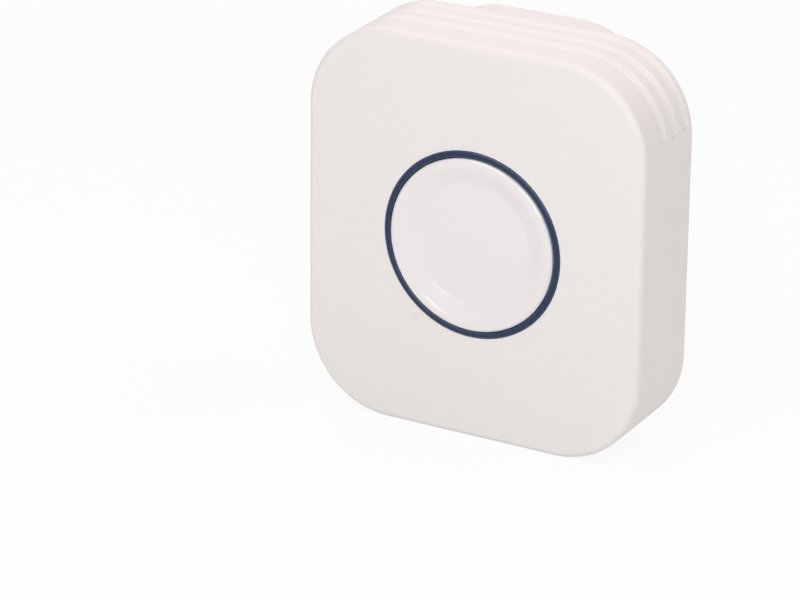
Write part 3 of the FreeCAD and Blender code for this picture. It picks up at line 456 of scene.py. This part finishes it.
INNER_FINISHES = (
    Finish("insulator", (0.70, 0.68, 0.63), (0.64, 0.62, 0.57), relief=0.006),
    Finish("circuit_board", (0.018, 0.10, 0.035), (0.03, 0.19, 0.065), Pattern.TRACKS,
           roughness=0.3, coat=0.4, relief=0.03),
    Finish("power_board", (0.42, 0.28, 0.11), (0.52, 0.37, 0.17), Pattern.LAMINATE,
           roughness=0.42, coat=0.2),
    Finish("radio_board", (0.02, 0.06, 0.17), (0.035, 0.11, 0.28), Pattern.TRACKS,
           roughness=0.3, coat=0.4, pitch=0.22, relief=0.02),
    Finish("led", (0.82, 0.80, 0.62), (0.80, 0.70, 0.25), Pattern.POLISHED, roughness=0.2,
           coat=0.5),
    Finish("chip", (0.022, 0.022, 0.023), (0.04, 0.04, 0.042), roughness=0.55, pitch=0.1,
           relief=0.008),
    Finish("crystal_can", (0.62, 0.62, 0.62), (0.52, 0.52, 0.53), Pattern.BRUSHED,
           roughness=0.28, metallic=1.0, pitch=0.15, relief=0.002),
    Finish("switch_case", (0.03, 0.03, 0.032), (0.05, 0.05, 0.052), roughness=0.4, pitch=0.2),
    Finish("switch_stem", (0.05, 0.05, 0.052), (0.08, 0.08, 0.082), roughness=0.35, pitch=0.2),
    Finish("speaker_frame", (0.04, 0.04, 0.042), (0.065, 0.065, 0.067), roughness=0.5, pitch=0.25),
    Finish("magnet", (0.42, 0.42, 0.43), (0.34, 0.34, 0.35), Pattern.BRUSHED, roughness=0.32,
           metallic=1.0, pitch=0.3, relief=0.002),
    Finish("cone", (0.09, 0.09, 0.095), (0.13, 0.13, 0.135), Pattern.POLISHED, roughness=0.34),
    Finish("gasket", (0.03, 0.03, 0.03), (0.07, 0.07, 0.07), Pattern.FOAM, roughness=0.85,
           pitch=0.3, relief=0.08),
    Finish("ferrite", (0.06, 0.06, 0.065), (0.10, 0.10, 0.105), roughness=0.6, pitch=0.15,
           relief=0.02),
    Finish("coil_tape", (0.72, 0.50, 0.05), (0.80, 0.62, 0.12), Pattern.BANDS, roughness=0.3,
           coat=0.3, pitch=1.6, relief=0.05),
    Finish("capacitor_sleeve", (0.03, 0.035, 0.06), (0.05, 0.06, 0.10), Pattern.POLISHED,
           roughness=0.25, coat=0.3),
    Finish("resistor_body", (0.34, 0.56, 0.54), (0.42, 0.64, 0.62), roughness=0.4, pitch=0.2),
    Finish("absorber_body", (0.04, 0.13, 0.38), (0.06, 0.18, 0.46), roughness=0.35, pitch=0.5,
           relief=0.03),
    Finish("wire_red", (0.50, 0.025, 0.025), (0.58, 0.04, 0.035), Pattern.POLISHED, roughness=0.35),
    Finish("wire_black", (0.025, 0.025, 0.026), (0.04, 0.04, 0.042), Pattern.POLISHED,
           roughness=0.35),
    Finish("wire_white", (0.72, 0.72, 0.70), (0.78, 0.78, 0.76), Pattern.POLISHED, roughness=0.35),
)


@dataclass(frozen=True)
class Corner:
    """A corner of a turned outline, with the radius that rounds it off."""

    radius: float
    depth: float
    round: float = 0.0


def softened(corners: Sequence[Corner], steps: int, closed: bool) -> list[tuple[float, float]]:
    """Round an outline's corners.

    Args:
        corners: the outline's corners in order.
        steps: how many chords stand for each round.
        closed: whether the last corner joins the first.

    Returns:
        Radius and depth of each point.
    """
    points: list[tuple[float, float]] = []
    count = len(corners)
    for index, corner in enumerate(corners):
        here = Vector((corner.radius, corner.depth))
        at_end = not closed and index in (0, count - 1)
        if corner.round <= 0.0 or at_end:
            points.append(tuple(here))
            continue
        before, after = corners[index - 1], corners[(index + 1) % count]
        back = (Vector((before.radius, before.depth)) - here).normalized()
        ahead = (Vector((after.radius, after.depth)) - here).normalized()
        half = back.angle(ahead) / 2.0
        reach = corner.round / math.tan(half)
        centre = here + (back + ahead).normalized() * (corner.round / math.sin(half))
        first = here + back * reach - centre
        turn = math.pi - 2.0 * half
        side = 1.0 if first.x * (here - centre).y - first.y * (here - centre).x > 0 else -1.0
        for step in range(steps + 1):
            angle = side * turn * step / steps
            spun = Vector((first.x * math.cos(angle) - first.y * math.sin(angle),
                           first.x * math.sin(angle) + first.y * math.cos(angle)))
            points.append(tuple(centre + spun))
    return points


@dataclass
class Workshop:
    """Ways of making a mesh, and the face's place in the shared frame.

    Points nearer each other than same_place are one, and shorter edges than no_length go, both in
    metres.
    """

    face_depth: float = -49.6
    face_height: float = -12.8
    no_radius: float = 1e-6
    same_place: float = 1e-6
    no_length: float = 1e-7
    decimals: int = 5

    def spot(self, across: float, depth: float, height: float) -> Point:
        """A point given from the face's middle, in the shared frame in metres."""
        return (across * MM, (self.face_depth + depth) * MM, (self.face_height + height) * MM)

    def object_of(self, name: str, mesh: bpy.types.Mesh) -> bpy.types.Object:
        """Put a mesh in the scene as an object at the origin.

        Args:
            name: the new object's name.
            mesh: the mesh.

        Returns:
            The object.
        """
        made = bpy.data.objects.new(name, mesh)
        bpy.context.scene.collection.objects.link(made)
        return made

    def turned(self, name: str, outline: Sequence[tuple[float, float]], segments: int,
               middle: tuple[float, float] = (0.0, 0.0), closed: bool = False,
               face: bool = True) -> bpy.types.Object:
        """Turn an outline about a line along the depth.

        Args:
            name: the new object's name.
            outline: radius and depth of each point.
            segments: steps round the circle.
            middle: where the line crosses, across and up.
            closed: whether the outline is a loop that stays off the line.
            face: whether middle and depths count from the face, not from the plug.

        Returns:
            The object.
        """
        built = bmesh.new()
        rings = []
        base = (self.face_depth, self.face_height) if face else (0.0, 0.0)
        for radius, depth in outline:
            count = 1 if radius < self.no_radius else segments
            ring = []
            for step in range(count):
                angle = math.tau * step / segments
                across = middle[0] + radius * math.cos(angle)
                height = base[1] + middle[1] + radius * math.sin(angle)
                ring.append(built.verts.new((across * MM, (base[0] + depth) * MM, height * MM)))
            rings.append(ring)
        pairs = list(zip(rings, rings[1:]))
        if closed:
            pairs.append((rings[-1], rings[0]))
        for low, high in pairs:
            for step in range(segments):
                following = (step + 1) % segments
                corners = [low[step % len(low)], low[following % len(low)],
                           high[following % len(high)], high[step % len(high)]]
                unique = list(dict.fromkeys(corners))
                if len(unique) > 2:
                    built.faces.new(unique)
        bmesh.ops.recalc_face_normals(built, faces=built.faces)
        mesh = bpy.data.meshes.new(name)
        built.to_mesh(mesh)
        built.free()
        return self.object_of(name, mesh)

    def merged_copy(self, node: str, name: str) -> bpy.types.Object:
        """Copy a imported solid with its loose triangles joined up.

        Args:
            node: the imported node.
            name: the copy's name.

        Returns:
            The copy.
        """
        source = frame["nodes"][node].data
        source.calc_loop_triangles()
        places = np.empty(len(source.vertices) * 3, np.float32)
        source.vertices.foreach_get("co", places)
        corners = np.empty(len(source.loop_triangles) * 3, np.int32)
        source.loop_triangles.foreach_get("vertices", corners)
        mesh = bpy.data.meshes.new(name)
        mesh.from_pydata(places.reshape(-1, 3).tolist(), [], corners.reshape(-1, 3).tolist())
        built = bmesh.new()
        built.from_mesh(mesh)
        bmesh.ops.remove_doubles(built, verts=built.verts, dist=self.same_place)
        bmesh.ops.dissolve_degenerate(built, edges=built.edges, dist=self.no_length)
        built.to_mesh(mesh)
        built.free()
        return self.object_of(name, mesh)

    def solids_of(self, node: str) -> list[tuple[Vector, Vector]]:
        """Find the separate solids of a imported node.

        Args:
            node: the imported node.

        Returns:
            Lowest and highest corner of each solid, from left to right and then upwards.
        """
        copy = self.merged_copy(node, "measured")
        built = bmesh.new()
        built.from_mesh(copy.data)
        left = set(built.verts)
        found = []
        while left:
            pool = [left.pop()]
            member = []
            while pool:
                vertex = pool.pop()
                member.append(vertex.co.copy())
                for edge in vertex.link_edges:
                    other = edge.other_vert(vertex)
                    if other in left:
                        left.remove(other)
                        pool.append(other)
            spread = np.array(member)
            found.append((Vector(spread.min(0)), Vector(spread.max(0))))
        built.free()
        bpy.data.objects.remove(copy)
        return sorted(found, key=lambda pair: (round(pair[0].x, self.decimals),
                                               round(pair[0].z, self.decimals)))

    def dress(self, piece: bpy.types.Object, body: str, finish: Finish, node: str,
              crease: float = 32.0) -> bpy.types.Object:
        """Smooth a piece, give it its finish and set it on its body.

        Args:
            piece: the new piece.
            body: the body that it moves with.
            finish: what its surface is like.
            node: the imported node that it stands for.
            crease: edges that turn by more degrees than this stay sharp.

        Returns:
            The piece.
        """
        mesh = piece.data
        mesh.polygons.foreach_set("use_smooth", [True] * len(mesh.polygons))
        mesh.set_sharp_from_angle(angle=math.radians(crease))
        weighted = piece.modifiers.new("even_shading", "WEIGHTED_NORMAL")
        weighted.keep_sharp = True
        mesh.materials.clear()
        mesh.materials.append(finish.material())
        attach(piece, body)
        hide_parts(node)
        return piece


class Growth(Sheet):
    """A Geometry Nodes tree with named inputs that ends in plain geometry with a material."""

    KINDS: ClassVar[dict[type, str]] = {
        int: "NodeSocketInt", float: "NodeSocketFloat", bpy.types.Object: "NodeSocketObject"}

    def __init__(self, name: str, sizes: dict[str, Any]) -> None:
        """Start a tree.

        Args:
            name: the tree's name.
            sizes: its named inputs with the values that this piece gives them.
        """
        tree = bpy.data.node_groups.new(name, "GeometryNodeTree")
        super().__init__(tree)
        tree.interface.new_socket("Geometry", in_out="INPUT", socket_type="NodeSocketGeometry")
        tree.interface.new_socket("Geometry", in_out="OUTPUT", socket_type="NodeSocketGeometry")
        self.sizes = sizes
        for key, value in sizes.items():
            kind = next(kind for base, kind in self.KINDS.items() if isinstance(value, base))
            tree.interface.new_socket(key, in_out="INPUT", socket_type=kind)
        self.entry = self.node("NodeGroupInput")

    def size(self, key: str) -> Number:
        """One of the named inputs, for arithmetic."""
        return self.number(self.entry.outputs[key])

    def shape_of(self, key: str) -> Socket:
        """The shape of an object that is one of the named inputs."""
        made = self.node("GeometryNodeObjectInfo", {}, {"Object": self.entry.outputs[key]})
        return made.outputs["Geometry"]

    def point(self, across: Any, depth: Any, height: Any) -> Socket:
        """Join three numbers into a place."""
        return self.node("ShaderNodeCombineXYZ", {}, {0: across, 1: depth, 2: height}).outputs[0]

    def without(self, mesh: Socket, tool: Socket) -> Socket:
        """Cut one closed mesh out of another.

        Args:
            mesh: what is cut.
            tool: what is taken away.

        Returns:
            What is left.
        """
        settings = {"operation": "DIFFERENCE", "solver": "MANIFOLD"}
        cut = self.node("GeometryNodeMeshBoolean", settings, {"Mesh 1": mesh, "Mesh 2": tool})
        return cut.outputs[0]

    def finish(self, geometry: Socket, material: bpy.types.Material) -> None:
        """End the tree in real geometry that carries a material.

        Args:
            geometry: what the tree has made.
            material: the material of the whole result.
        """
        real = self.node("GeometryNodeRealizeInstances", {}, {"Geometry": geometry})
        coated = self.node("GeometryNodeSetMaterial", {}, {
            "Geometry": real.outputs[0], "Material": material})
        self.node("NodeGroupOutput", {}, {0: coated.outputs[0]})

    def grow(self, piece: bpy.types.Object) -> None:
        """Run the tree on a piece and keep the result as the piece's own mesh.

        Args:
            piece: the object that the tree starts from, which ends with no modifier.
        """
        modifier = piece.modifiers.new("growth", "NODES")
        modifier.node_group = self.tree
        for item in self.tree.interface.items_tree:
            if item.in_out == "INPUT" and item.name in self.sizes:
                modifier[item.identifier] = self.sizes[item.name]
        graph = bpy.context.evaluated_depsgraph_get()
        grown = bpy.data.meshes.new_from_object(piece.evaluated_get(graph))
        piece.modifiers.remove(modifier)
        grown.name = piece.name
        piece.data = grown


@dataclass
class FaceCover:
    """Front cover with the halo of shallow dimples round the ring.

    The nudge keeps the first dimple of a row from being counted with the row before.
    """

    shop: Workshop
    rows: int = 5
    per_row: int = 40
    first_radius: float = 24.15
    row_pitch: float = 3.15
    widest: float = 0.85
    narrowest: float = 0.5
    depth: float = 0.085
    depth_loss: float = 0.62
    lens: tuple[tuple[float, float], ...] = (
        (0.0, 1.0), (0.5, 0.75), (0.85, 0.28), (1.15, -0.32), (1.5, -1.2), (0.0, -1.2))
    lens_segments: int = 14
    nudge: float = 1e-4

    def tool(self) -> bpy.types.Object:
        """Turn a lens-shaped cutter, a metre in radius and depth, so that its scale is its size."""
        outline = [(radius / MM, depth / MM) for radius, depth in self.lens]
        return self.shop.turned("dimple_tool", outline, self.lens_segments, face=False)

    def build(self) -> list[bpy.types.Object]:
        """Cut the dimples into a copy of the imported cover.

        Returns:
            The cover.
        """
        cover = self.shop.merged_copy("front_cover", "face_cover")
        tool = self.tool()
        tree = Growth("dimple_halo", {
            "Rows": self.rows, "Per Row": self.per_row, "First Radius": self.first_radius * MM,
            "Row Pitch": self.row_pitch * MM, "Widest": self.widest * MM,
            "Narrowest": self.narrowest * MM, "Depth": self.depth * MM,
            "Depth Loss": self.depth_loss, "Tool": tool})
        index = tree.number(tree.node("GeometryNodeInputIndex").outputs[0])
        row = (index / tree.size("Per Row") + self.nudge).floor()
        step = index - row * tree.size("Per Row")
        angle = step * math.tau / tree.size("Per Row")
        radius = tree.size("First Radius") + row * tree.size("Row Pitch")
        middle = self.shop.spot(0.0, 0.0, 0.0)
        place = tree.point(radius * angle.cosine(), middle[1], radius * angle.sine() + middle[2])
        points = tree.node("GeometryNodePoints", {}, {
            "Count": tree.size("Rows") * tree.size("Per Row"), "Position": place})
        fade = row / (tree.size("Rows") - 1.0)
        size = tree.size("Widest") + (tree.size("Narrowest") - tree.size("Widest")) * fade
        sink = tree.size("Depth") * (1.0 - fade * tree.size("Depth Loss"))
        cutters = tree.node("GeometryNodeInstanceOnPoints", {}, {
            "Points": points.outputs[0], "Instance": tree.shape_of("Tool"),
            "Scale": tree.point(size, sink, size)})
        solid = tree.node("GeometryNodeRealizeInstances", {}, {"Geometry": cutters.outputs[0]})
        cut = tree.without(tree.entry.outputs["Geometry"], solid.outputs[0])
        tree.finish(cut, WHITE_CASE.material())
        tree.grow(cover)
        bpy.data.objects.remove(tool)
        return [self.shop.dress(cover, "housing", WHITE_CASE, "front_cover")]


@dataclass
class PushDisc:
    """Polished dished disc inside the ring, with its flange and the post under it."""

    shop: Workshop
    floor: float = 0.45
    floor_radius: float = 13.65
    rim: float = -0.85
    rim_radius: float = 17.6
    edge_radius: float = 19.4
    chamfer: float = 0.5
    flange_radius: float = 20.5
    flange: tuple[float, float] = (3.2, 4.2)
    wall: float = 1.5
    web: float = 1.0
    post: tuple[float, float] = (1.6, 4.0)
    dish_round: float = 4.0
    rim_round: float = 0.5
    edge_round: float = 0.3
    chords: int = 5
    segments: int = 96

    def build(self) -> list[bpy.types.Object]:
        """Turn the disc's outline.

        Returns:
            The disc.
        """
        under = self.floor + self.wall
        flange_front, flange_back = self.flange
        post_radius, post_end = self.post
        outline = softened([
            Corner(0.0, self.floor), Corner(self.floor_radius, self.floor, self.dish_round),
            Corner(self.rim_radius, self.rim, self.dish_round),
            Corner(self.edge_radius - self.chamfer, self.rim, self.rim_round),
            Corner(self.edge_radius, self.rim + self.chamfer, self.edge_round),
            Corner(self.edge_radius, flange_front), Corner(self.flange_radius, flange_front),
            Corner(self.flange_radius, flange_back), Corner(self.rim_radius, flange_back),
            Corner(self.rim_radius, under - self.web), Corner(self.floor_radius, under),
            Corner(post_radius, under), Corner(post_radius, post_end), Corner(0.0, post_end)],
            self.chords, False)
        disc = self.shop.turned("push_disc", outline, self.segments)
        return [self.shop.dress(disc, "chime_button", GLOSS_DISC, "chime_button")]


@dataclass
class LightRing:
    """Dark blue ring with its flange and guide."""

    shop: Workshop
    inner: float = 19.65
    outer: float = 21.05
    front: float = -0.3
    inner_round: float = 0.3
    outer_round: float = 0.5
    flange_radius: float = 23.2
    wall: float = 2.0
    flange_end: float = 3.2
    guide_inner: float = 21.4
    guide_end: float = 6.9
    chords: int = 4
    segments: int = 128

    def build(self) -> list[bpy.types.Object]:
        """Turn the ring's outline with softly rounded front edges.

        Returns:
            The ring.
        """
        outline = softened([
            Corner(self.inner, self.front, self.inner_round),
            Corner(self.outer, self.front, self.outer_round), Corner(self.outer, self.wall),
            Corner(self.flange_radius, self.wall), Corner(self.flange_radius, self.guide_end),
            Corner(self.guide_inner, self.guide_end), Corner(self.guide_inner, self.flange_end),
            Corner(self.inner, self.flange_end)], self.chords, True)
        ring = self.shop.turned("blue_ring", outline, self.segments, closed=True)
        middle = (0.0, self.shop.face_depth, self.shop.face_height)
        tint = replace(BLUE_RING, centre=middle, inner=self.inner, outer=self.outer)
        return [self.shop.dress(ring, "housing", tint, "light_ring")]


@dataclass
class Shells:
    """Rear housing, plug block and side buttons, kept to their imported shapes."""

    shop: Workshop
    crease: float = 32.0
    groove_crease: float = 19.0

    def build(self) -> list[bpy.types.Object]:
        """Copy each packed shell, joined up and smoothly shaded.

        Returns:
            The shells.
        """
        made = []
        for node, name, body, finish, crease in (
                ("rear_housing", "rear_shell", "housing", WHITE_BACK, self.groove_crease),
                ("plug_block", "plug_shell", "housing", WHITE_PLUG, self.crease),
                ("volume_button", "volume_key", "volume_button", SIDE_KEY, self.crease),
                ("melody_button", "melody_key", "melody_button", SIDE_KEY, self.crease)):
            copy = self.shop.merged_copy(node, name)
            made.append(self.shop.dress(copy, body, finish, node, crease=crease))
        return made


@dataclass
class PlugPins:
    """Two plated pins with insulating sleeves. Depths count from the plug's face."""

    shop: Workshop
    pitch: float = 19.0
    radius: float = 2.0
    neck: float = 1.4
    sleeve_end: float = 10.0
    sleeve_gap: float = 0.05
    length: float = 19.0
    tip: float = 0.8
    tail_radius: float = 1.0
    tail_end: float = -24.6
    collar_radius: float = 2.9
    collar: tuple[float, float] = (-16.0, -14.0)
    tail_round: float = 0.3
    collar_round: float = 0.2
    shoulder_round: float = 0.1
    tip_rounds: tuple[float, float] = (0.9, 0.5)
    sleeve_round: float = 0.12
    pin_chords: int = 4
    sleeve_chords: int = 3
    segments: int = 40

    def pin(self) -> list[tuple[float, float]]:
        """Outline of a pin, from its tail to its tip.

        Returns:
            Radius and depth of each point.
        """
        back, front = self.collar
        return softened([
            Corner(0.0, self.tail_end), Corner(self.tail_radius, self.tail_end, self.tail_round),
            Corner(self.tail_radius, back), Corner(self.collar_radius, back, self.collar_round),
            Corner(self.collar_radius, front, self.collar_round), Corner(self.neck, front),
            Corner(self.neck, self.sleeve_end),
            Corner(self.radius, self.sleeve_end, self.shoulder_round),
            Corner(self.radius, self.length - self.tip, self.tip_rounds[0]),
            Corner(self.radius - self.tip, self.length, self.tip_rounds[1]),
            Corner(0.0, self.length)], self.pin_chords, False)

    def sleeve(self) -> list[tuple[float, float]]:
        """Outline of the sleeve round a pin's neck.

        Returns:
            Radius and depth of each point.
        """
        bore = self.neck + self.sleeve_gap
        return softened([
            Corner(self.radius, 0.0), Corner(self.radius, self.sleeve_end, self.sleeve_round),
            Corner(bore, self.sleeve_end), Corner(bore, 0.0)], self.sleeve_chords, True)

    def build(self) -> list[bpy.types.Object]:
        """Turn both pins and their sleeves.

        Returns:
            The pins and sleeves.
        """
        made = []
        for side, name in ((-1.0, "left"), (1.0, "right")):
            middle = (side * self.pitch / 2.0, 0.0)
            for part, node, outline, closed, finish in (
                    ("_plug_pin", "_pin", self.pin(), False, PIN_METAL),
                    ("_sleeve", "_pin_sleeve", self.sleeve(), True, PIN_SLEEVE)):
                piece = self.shop.turned(name + part, outline, self.segments, middle, closed,
                                         face=False)
                made.append(self.shop.dress(piece, "housing", finish, name + node))
        return made


@dataclass
class ScrewSet:
    """Cross-recessed screws of one size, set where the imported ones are.

    The crown is in shares of the head's radius and height, and thread_root is a share of the
    shank's radius. The steps before the first root and from a root to its crest are in pitches.
    """

    shop: Workshop
    node: str
    heads_back: bool
    head_radius: float = 2.1
    head_height: float = 1.4
    shank_radius: float = 0.9
    crown: tuple[float, float] = (0.82, 0.45)
    head_rounds: tuple[float, float] = (0.35, 0.3)
    thread_pitch: float = 0.55
    thread_root: float = 0.8
    before_first: float = 0.2
    root_to_crest: float = 0.4
    plain_end: float = 0.8
    end_step: float = 0.15
    recess_depth: float = 1.0
    recess: tuple[float, float] = (1.5, 0.36)
    recess_narrowing: float = 0.55
    proud: float = 0.2
    turn_between: float = 0.9
    chords: int = 3
    segments: int = 20

    def screw(self, length: float) -> bpy.types.Object:
        """Turn one screw about the plug's own line, seat at zero and head towards the wall.

        Args:
            length: from under the head to the tip.

        Returns:
            The screw before its recess is cut.
        """
        crown_radius, edge_height = self.crown
        head = softened([
            Corner(0.0, self.head_height),
            Corner(self.head_radius * crown_radius, self.head_height, self.head_rounds[0]),
            Corner(self.head_radius, self.head_height * edge_height, self.head_rounds[1]),
            Corner(self.head_radius, 0.0)], self.chords, False)
        root = self.shank_radius * self.thread_root
        crests = int((length - self.plain_end) / self.thread_pitch)
        outline = head + [(root, 0.0)]
        for crest in range(crests):
            start = -self.thread_pitch * (crest + self.before_first)
            rise = self.thread_pitch * self.root_to_crest
            outline += [(root, start), (self.shank_radius, start - rise)]
        outline += [(root, -self.thread_pitch * crests - self.end_step), (0.0, -length)]
        return self.shop.turned("screw_tool", outline, self.segments, face=False)

    def driver(self) -> bpy.types.Object:
        """Make a cross-shaped cutter that narrows with depth.

        Returns:
            The cutter.
        """
        reach, half = self.recess
        top, low = self.head_height + self.proud, self.head_height - self.recess_depth
        arm = [(reach, -half), (reach, half), (half, half)]
        ring = []
        for _ in range(4):
            ring += arm
            arm = [(-z, x) for x, z in arm]
        built = bmesh.new()
        rows = []
        for depth, share in ((low, self.recess_narrowing), (top, 1.0)):
            rows.append([built.verts.new((x * share * MM, depth * MM, z * share * MM))
                         for x, z in ring])
        for row in rows:
            built.faces.new(row)
        bottom, mouth = rows
        for start in range(len(ring)):
            following = (start + 1) % len(ring)
            built.faces.new([bottom[start], bottom[following], mouth[following], mouth[start]])
        bmesh.ops.recalc_face_normals(built, faces=built.faces)
        mesh = bpy.data.meshes.new("driver_tool")
        built.to_mesh(mesh)
        built.free()
        return self.shop.object_of("driver_tool", mesh)

    def places(self) -> tuple[list[Point], float]:
        """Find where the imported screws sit.

        Returns:
            The middle of the seat under each head, and the length from there to the tip.
        """
        solids = self.shop.solids_of(self.node)
        low, high = solids[0]
        length = (high.y - low.y) / MM - self.head_height
        head = self.head_height * MM
        seat = high.y - head if self.heads_back else low.y + head
        return [((a.x + b.x) / 2.0, seat, (a.z + b.z) / 2.0) for a, b in solids], length

    def build(self) -> list[bpy.types.Object]:
        """Cut the recess and set a screw at each place.

        Returns:
            The screws as one piece.
        """
        places, length = self.places()
        screw, driver = self.screw(length), self.driver()
        base = bpy.data.meshes.new("screw_places")
        base.from_pydata(places, [], [])
        piece = self.shop.object_of("cross_" + self.node, base)
        tree = Growth("set_of_" + self.node, {
            "Screw": screw, "Driver": driver, "Turn Between": self.turn_between,
            "Turn": 0.0 if self.heads_back else math.pi})
        cut = tree.without(tree.shape_of("Screw"), tree.shape_of("Driver"))
        index = tree.number(tree.node("GeometryNodeInputIndex").outputs[0])
        turned = tree.node("FunctionNodeEulerToRotation", {}, {
            0: tree.point(tree.size("Turn"), index * tree.size("Turn Between"), 0.0)})
        placed = tree.node("GeometryNodeInstanceOnPoints", {}, {
            "Points": tree.entry.outputs["Geometry"], "Instance": cut,
            "Rotation": turned.outputs[0]})
        tree.finish(placed.outputs[0], SCREW_STEEL.material())
        tree.grow(piece)
        for tool in (screw, driver):
            bpy.data.objects.remove(tool)
        return [self.shop.dress(piece, "housing", SCREW_STEEL, self.node)]


@dataclass
class InnerParts:
    """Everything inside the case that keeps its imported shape."""

    finishes: tuple[Finish, ...] = INNER_FINISHES

    def build(self) -> list[bpy.types.Object]:
        """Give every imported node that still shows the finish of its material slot.

        Returns:
            Those nodes.
        """
        known = {finish.slot: finish for finish in self.finishes}
        slots = {part["node"]: part["material_slot"] for part in frame["record"]["subparts"]}
        shown = {name: node for name, node in frame["nodes"].items() if not node.hide_render}
        for name, node in shown.items():
            node.data.materials.clear()
            node.data.materials.append(known[slots[name]].material())
        return list(shown.values())


@dataclass(frozen=True)
class Lamp:
    """A large soft lamp that faces the object, with its direction away from it."""

    name: str
    away: Point
    share: float
    tint: Colour
    distance: float = 1200.0
    size: float = 900.0

    def build(self) -> None:
        """Hang the lamp so that a surface that faces it is lit by its share of full light."""
        made = bpy.data.lights.new(self.name, "AREA")
        made.shape, made.size = "DISK", self.size * MM
        made.color = self.tint
        made.energy = self.share * math.pi ** 2 * (self.distance * MM) ** 2
        holder = bpy.data.objects.new(self.name, made)
        bpy.context.scene.collection.objects.link(holder)
        away = Vector(self.away).normalized()
        holder.location = away * self.distance * MM
        holder.rotation_mode = "QUATERNION"
        holder.rotation_quaternion = away.to_track_quat("Z", "Y")


@dataclass
class Studio:
    """Pale floor, plain soft light and the camera. The floor and the clip are in metres."""

    floor_height: float
    camera_place: Point = (400.5, -804.7, 329.6)
    camera_right: Point = (0.87318, 0.48731, 0.00913)
    camera_down: Point = (0.19436, -0.33095, -0.92342)
    camera_forward: Point = (-0.44697, 0.80809, -0.38369)
    lens: float = 195.8
    sensor: float = 36.0
    clip: tuple[float, float] = (0.01, 50.0)
    ambient: float = 0.25
    floor_reach: float = 4.0
    floor_colour: Colour = (0.9, 0.9, 0.9)
    floor_glow: float = 0.9
    lamps: tuple[Lamp, ...] = (
        Lamp("key", (0.45, -0.78, 0.42), 0.36, (0.87, 1.0, 0.935), distance=700.0, size=525.0),
        Lamp("fill", (-0.17, -0.62, 0.77), 0.385, (1.0, 0.82, 0.875), distance=800.0, size=600.0),
        Lamp("left_rear", (-0.45, 0.45, 0.77), 0.275, (1.0, 0.94, 0.96)),
        Lamp("right_rear", (0.56, 0.32, 0.77), 0.345, (1.0, 0.79, 0.75)),
        Lamp("glint", (-0.212, -0.978, -0.046), 0.06, (1.0, 0.98, 0.97), size=180.0))

    def camera(self) -> None:
        """Stand the camera where the photograph was taken from."""
        made = bpy.data.cameras.new("camera")
        made.lens, made.sensor_width = self.lens, self.sensor
        made.clip_start, made.clip_end = self.clip
        holder = bpy.data.objects.new("camera", made)
        bpy.context.scene.collection.objects.link(holder)
        right, down, ahead = (Vector(axis).normalized() for axis in (
            self.camera_right, self.camera_down, self.camera_forward))
        turn = Matrix((right, -down, -ahead)).transposed().to_4x4()
        holder.matrix_world = Matrix.Translation(Vector(self.camera_place) * MM) @ turn
        bpy.context.scene.camera = holder

    @staticmethod
    def whitened(sheet: Sheet, plain: bpy.types.Node, white: bpy.types.Node,
                 share: float = 1.0) -> Socket:
        """Let the background look white and still light the object at a plain level.

        Args:
            sheet: the node tree.
            plain: the shader that lights the object.
            white: the shader that the camera sees, also through gloss or glass.
            share: how much of the white shader is seen.

        Returns:
            Both in one.
        """
        path = sheet.node("ShaderNodeLightPath")
        rays = [sheet.number(path.outputs[name])
                for name in ("Is Camera Ray", "Is Glossy Ray", "Is Transmission Ray")]
        seen = (rays[0] + rays[1] + rays[2]).clamped()
        mixed = sheet.node("ShaderNodeMixShader", {}, {
            0: seen * share, 1: plain.outputs[0], 2: white.outputs[0]})
        return mixed.outputs[0]

    def world(self) -> None:
        """Make an even surround that looks white and lights at a plain level."""
        made = bpy.data.worlds.new("surround")
        bpy.context.scene.world = made
        made.use_nodes = True
        sheet = Sheet(made.node_tree)
        light, white = (
            sheet.node("ShaderNodeBackground", {}, {"Color": (1, 1, 1, 1), "Strength": strength})
            for strength in (self.ambient, 1.0))
        surface = self.whitened(sheet, light, white)
        sheet.node("ShaderNodeOutputWorld", {}, {"Surface": surface})

    def floor(self) -> None:
        """Lay a wide pale floor that keeps the object's shadow."""
        mesh = bpy.data.meshes.new("floor")
        corners = [(across * self.floor_reach, along * self.floor_reach, self.floor_height)
                   for across, along in ((-1, -1), (1, -1), (1, 1), (-1, 1))]
        mesh.from_pydata(corners, [], [(0, 1, 2, 3)])
        made = bpy.data.objects.new("floor", mesh)
        bpy.context.scene.collection.objects.link(made)
        material = bpy.data.materials.new("floor_paper")
        material.use_nodes = True
        sheet = Sheet(material.node_tree)
        paper = sheet.node("ShaderNodeBsdfDiffuse", {}, {"Color": (*self.floor_colour, 1)})
        white = sheet.node("ShaderNodeEmission", {}, {"Color": (1, 1, 1, 1), "Strength": 1.0})
        surface = self.whitened(sheet, paper, white, self.floor_glow)
        sheet.node("ShaderNodeOutputMaterial", {}, {"Surface": surface})
        mesh.materials.append(material)

    def build(self) -> None:
        """Set up the whole studio."""
        self.camera()
        self.world()
        for lamp in self.lamps:
            lamp.build()
        self.floor()
        bpy.context.scene.view_settings.view_transform = "Standard"


def main() -> None:
    """Build the pieces in order, report each one, and set up the studio."""
    logging.basicConfig(level=logging.INFO, format="%(message)s")
    shop = Workshop()
    for assembly in (
            FaceCover(shop), PushDisc(shop), LightRing(shop), Shells(shop), PlugPins(shop),
            ScrewSet(shop, "housing_screws", True, head_radius=2.6, head_height=2.0,
                     shank_radius=1.2),
            ScrewSet(shop, "board_screws", True), ScrewSet(shop, "plug_block_screws", False),
            ScrewSet(shop, "power_board_screws", False), InnerParts()):
        for piece in assembly.build():
            LOG.info("%s: %d faces in %s", piece.name, len(piece.data.polygons),
                     piece.data.materials[0].name)
    Studio(CAD_BOX[0].z).build()


if __name__ == "__main__":
    main()
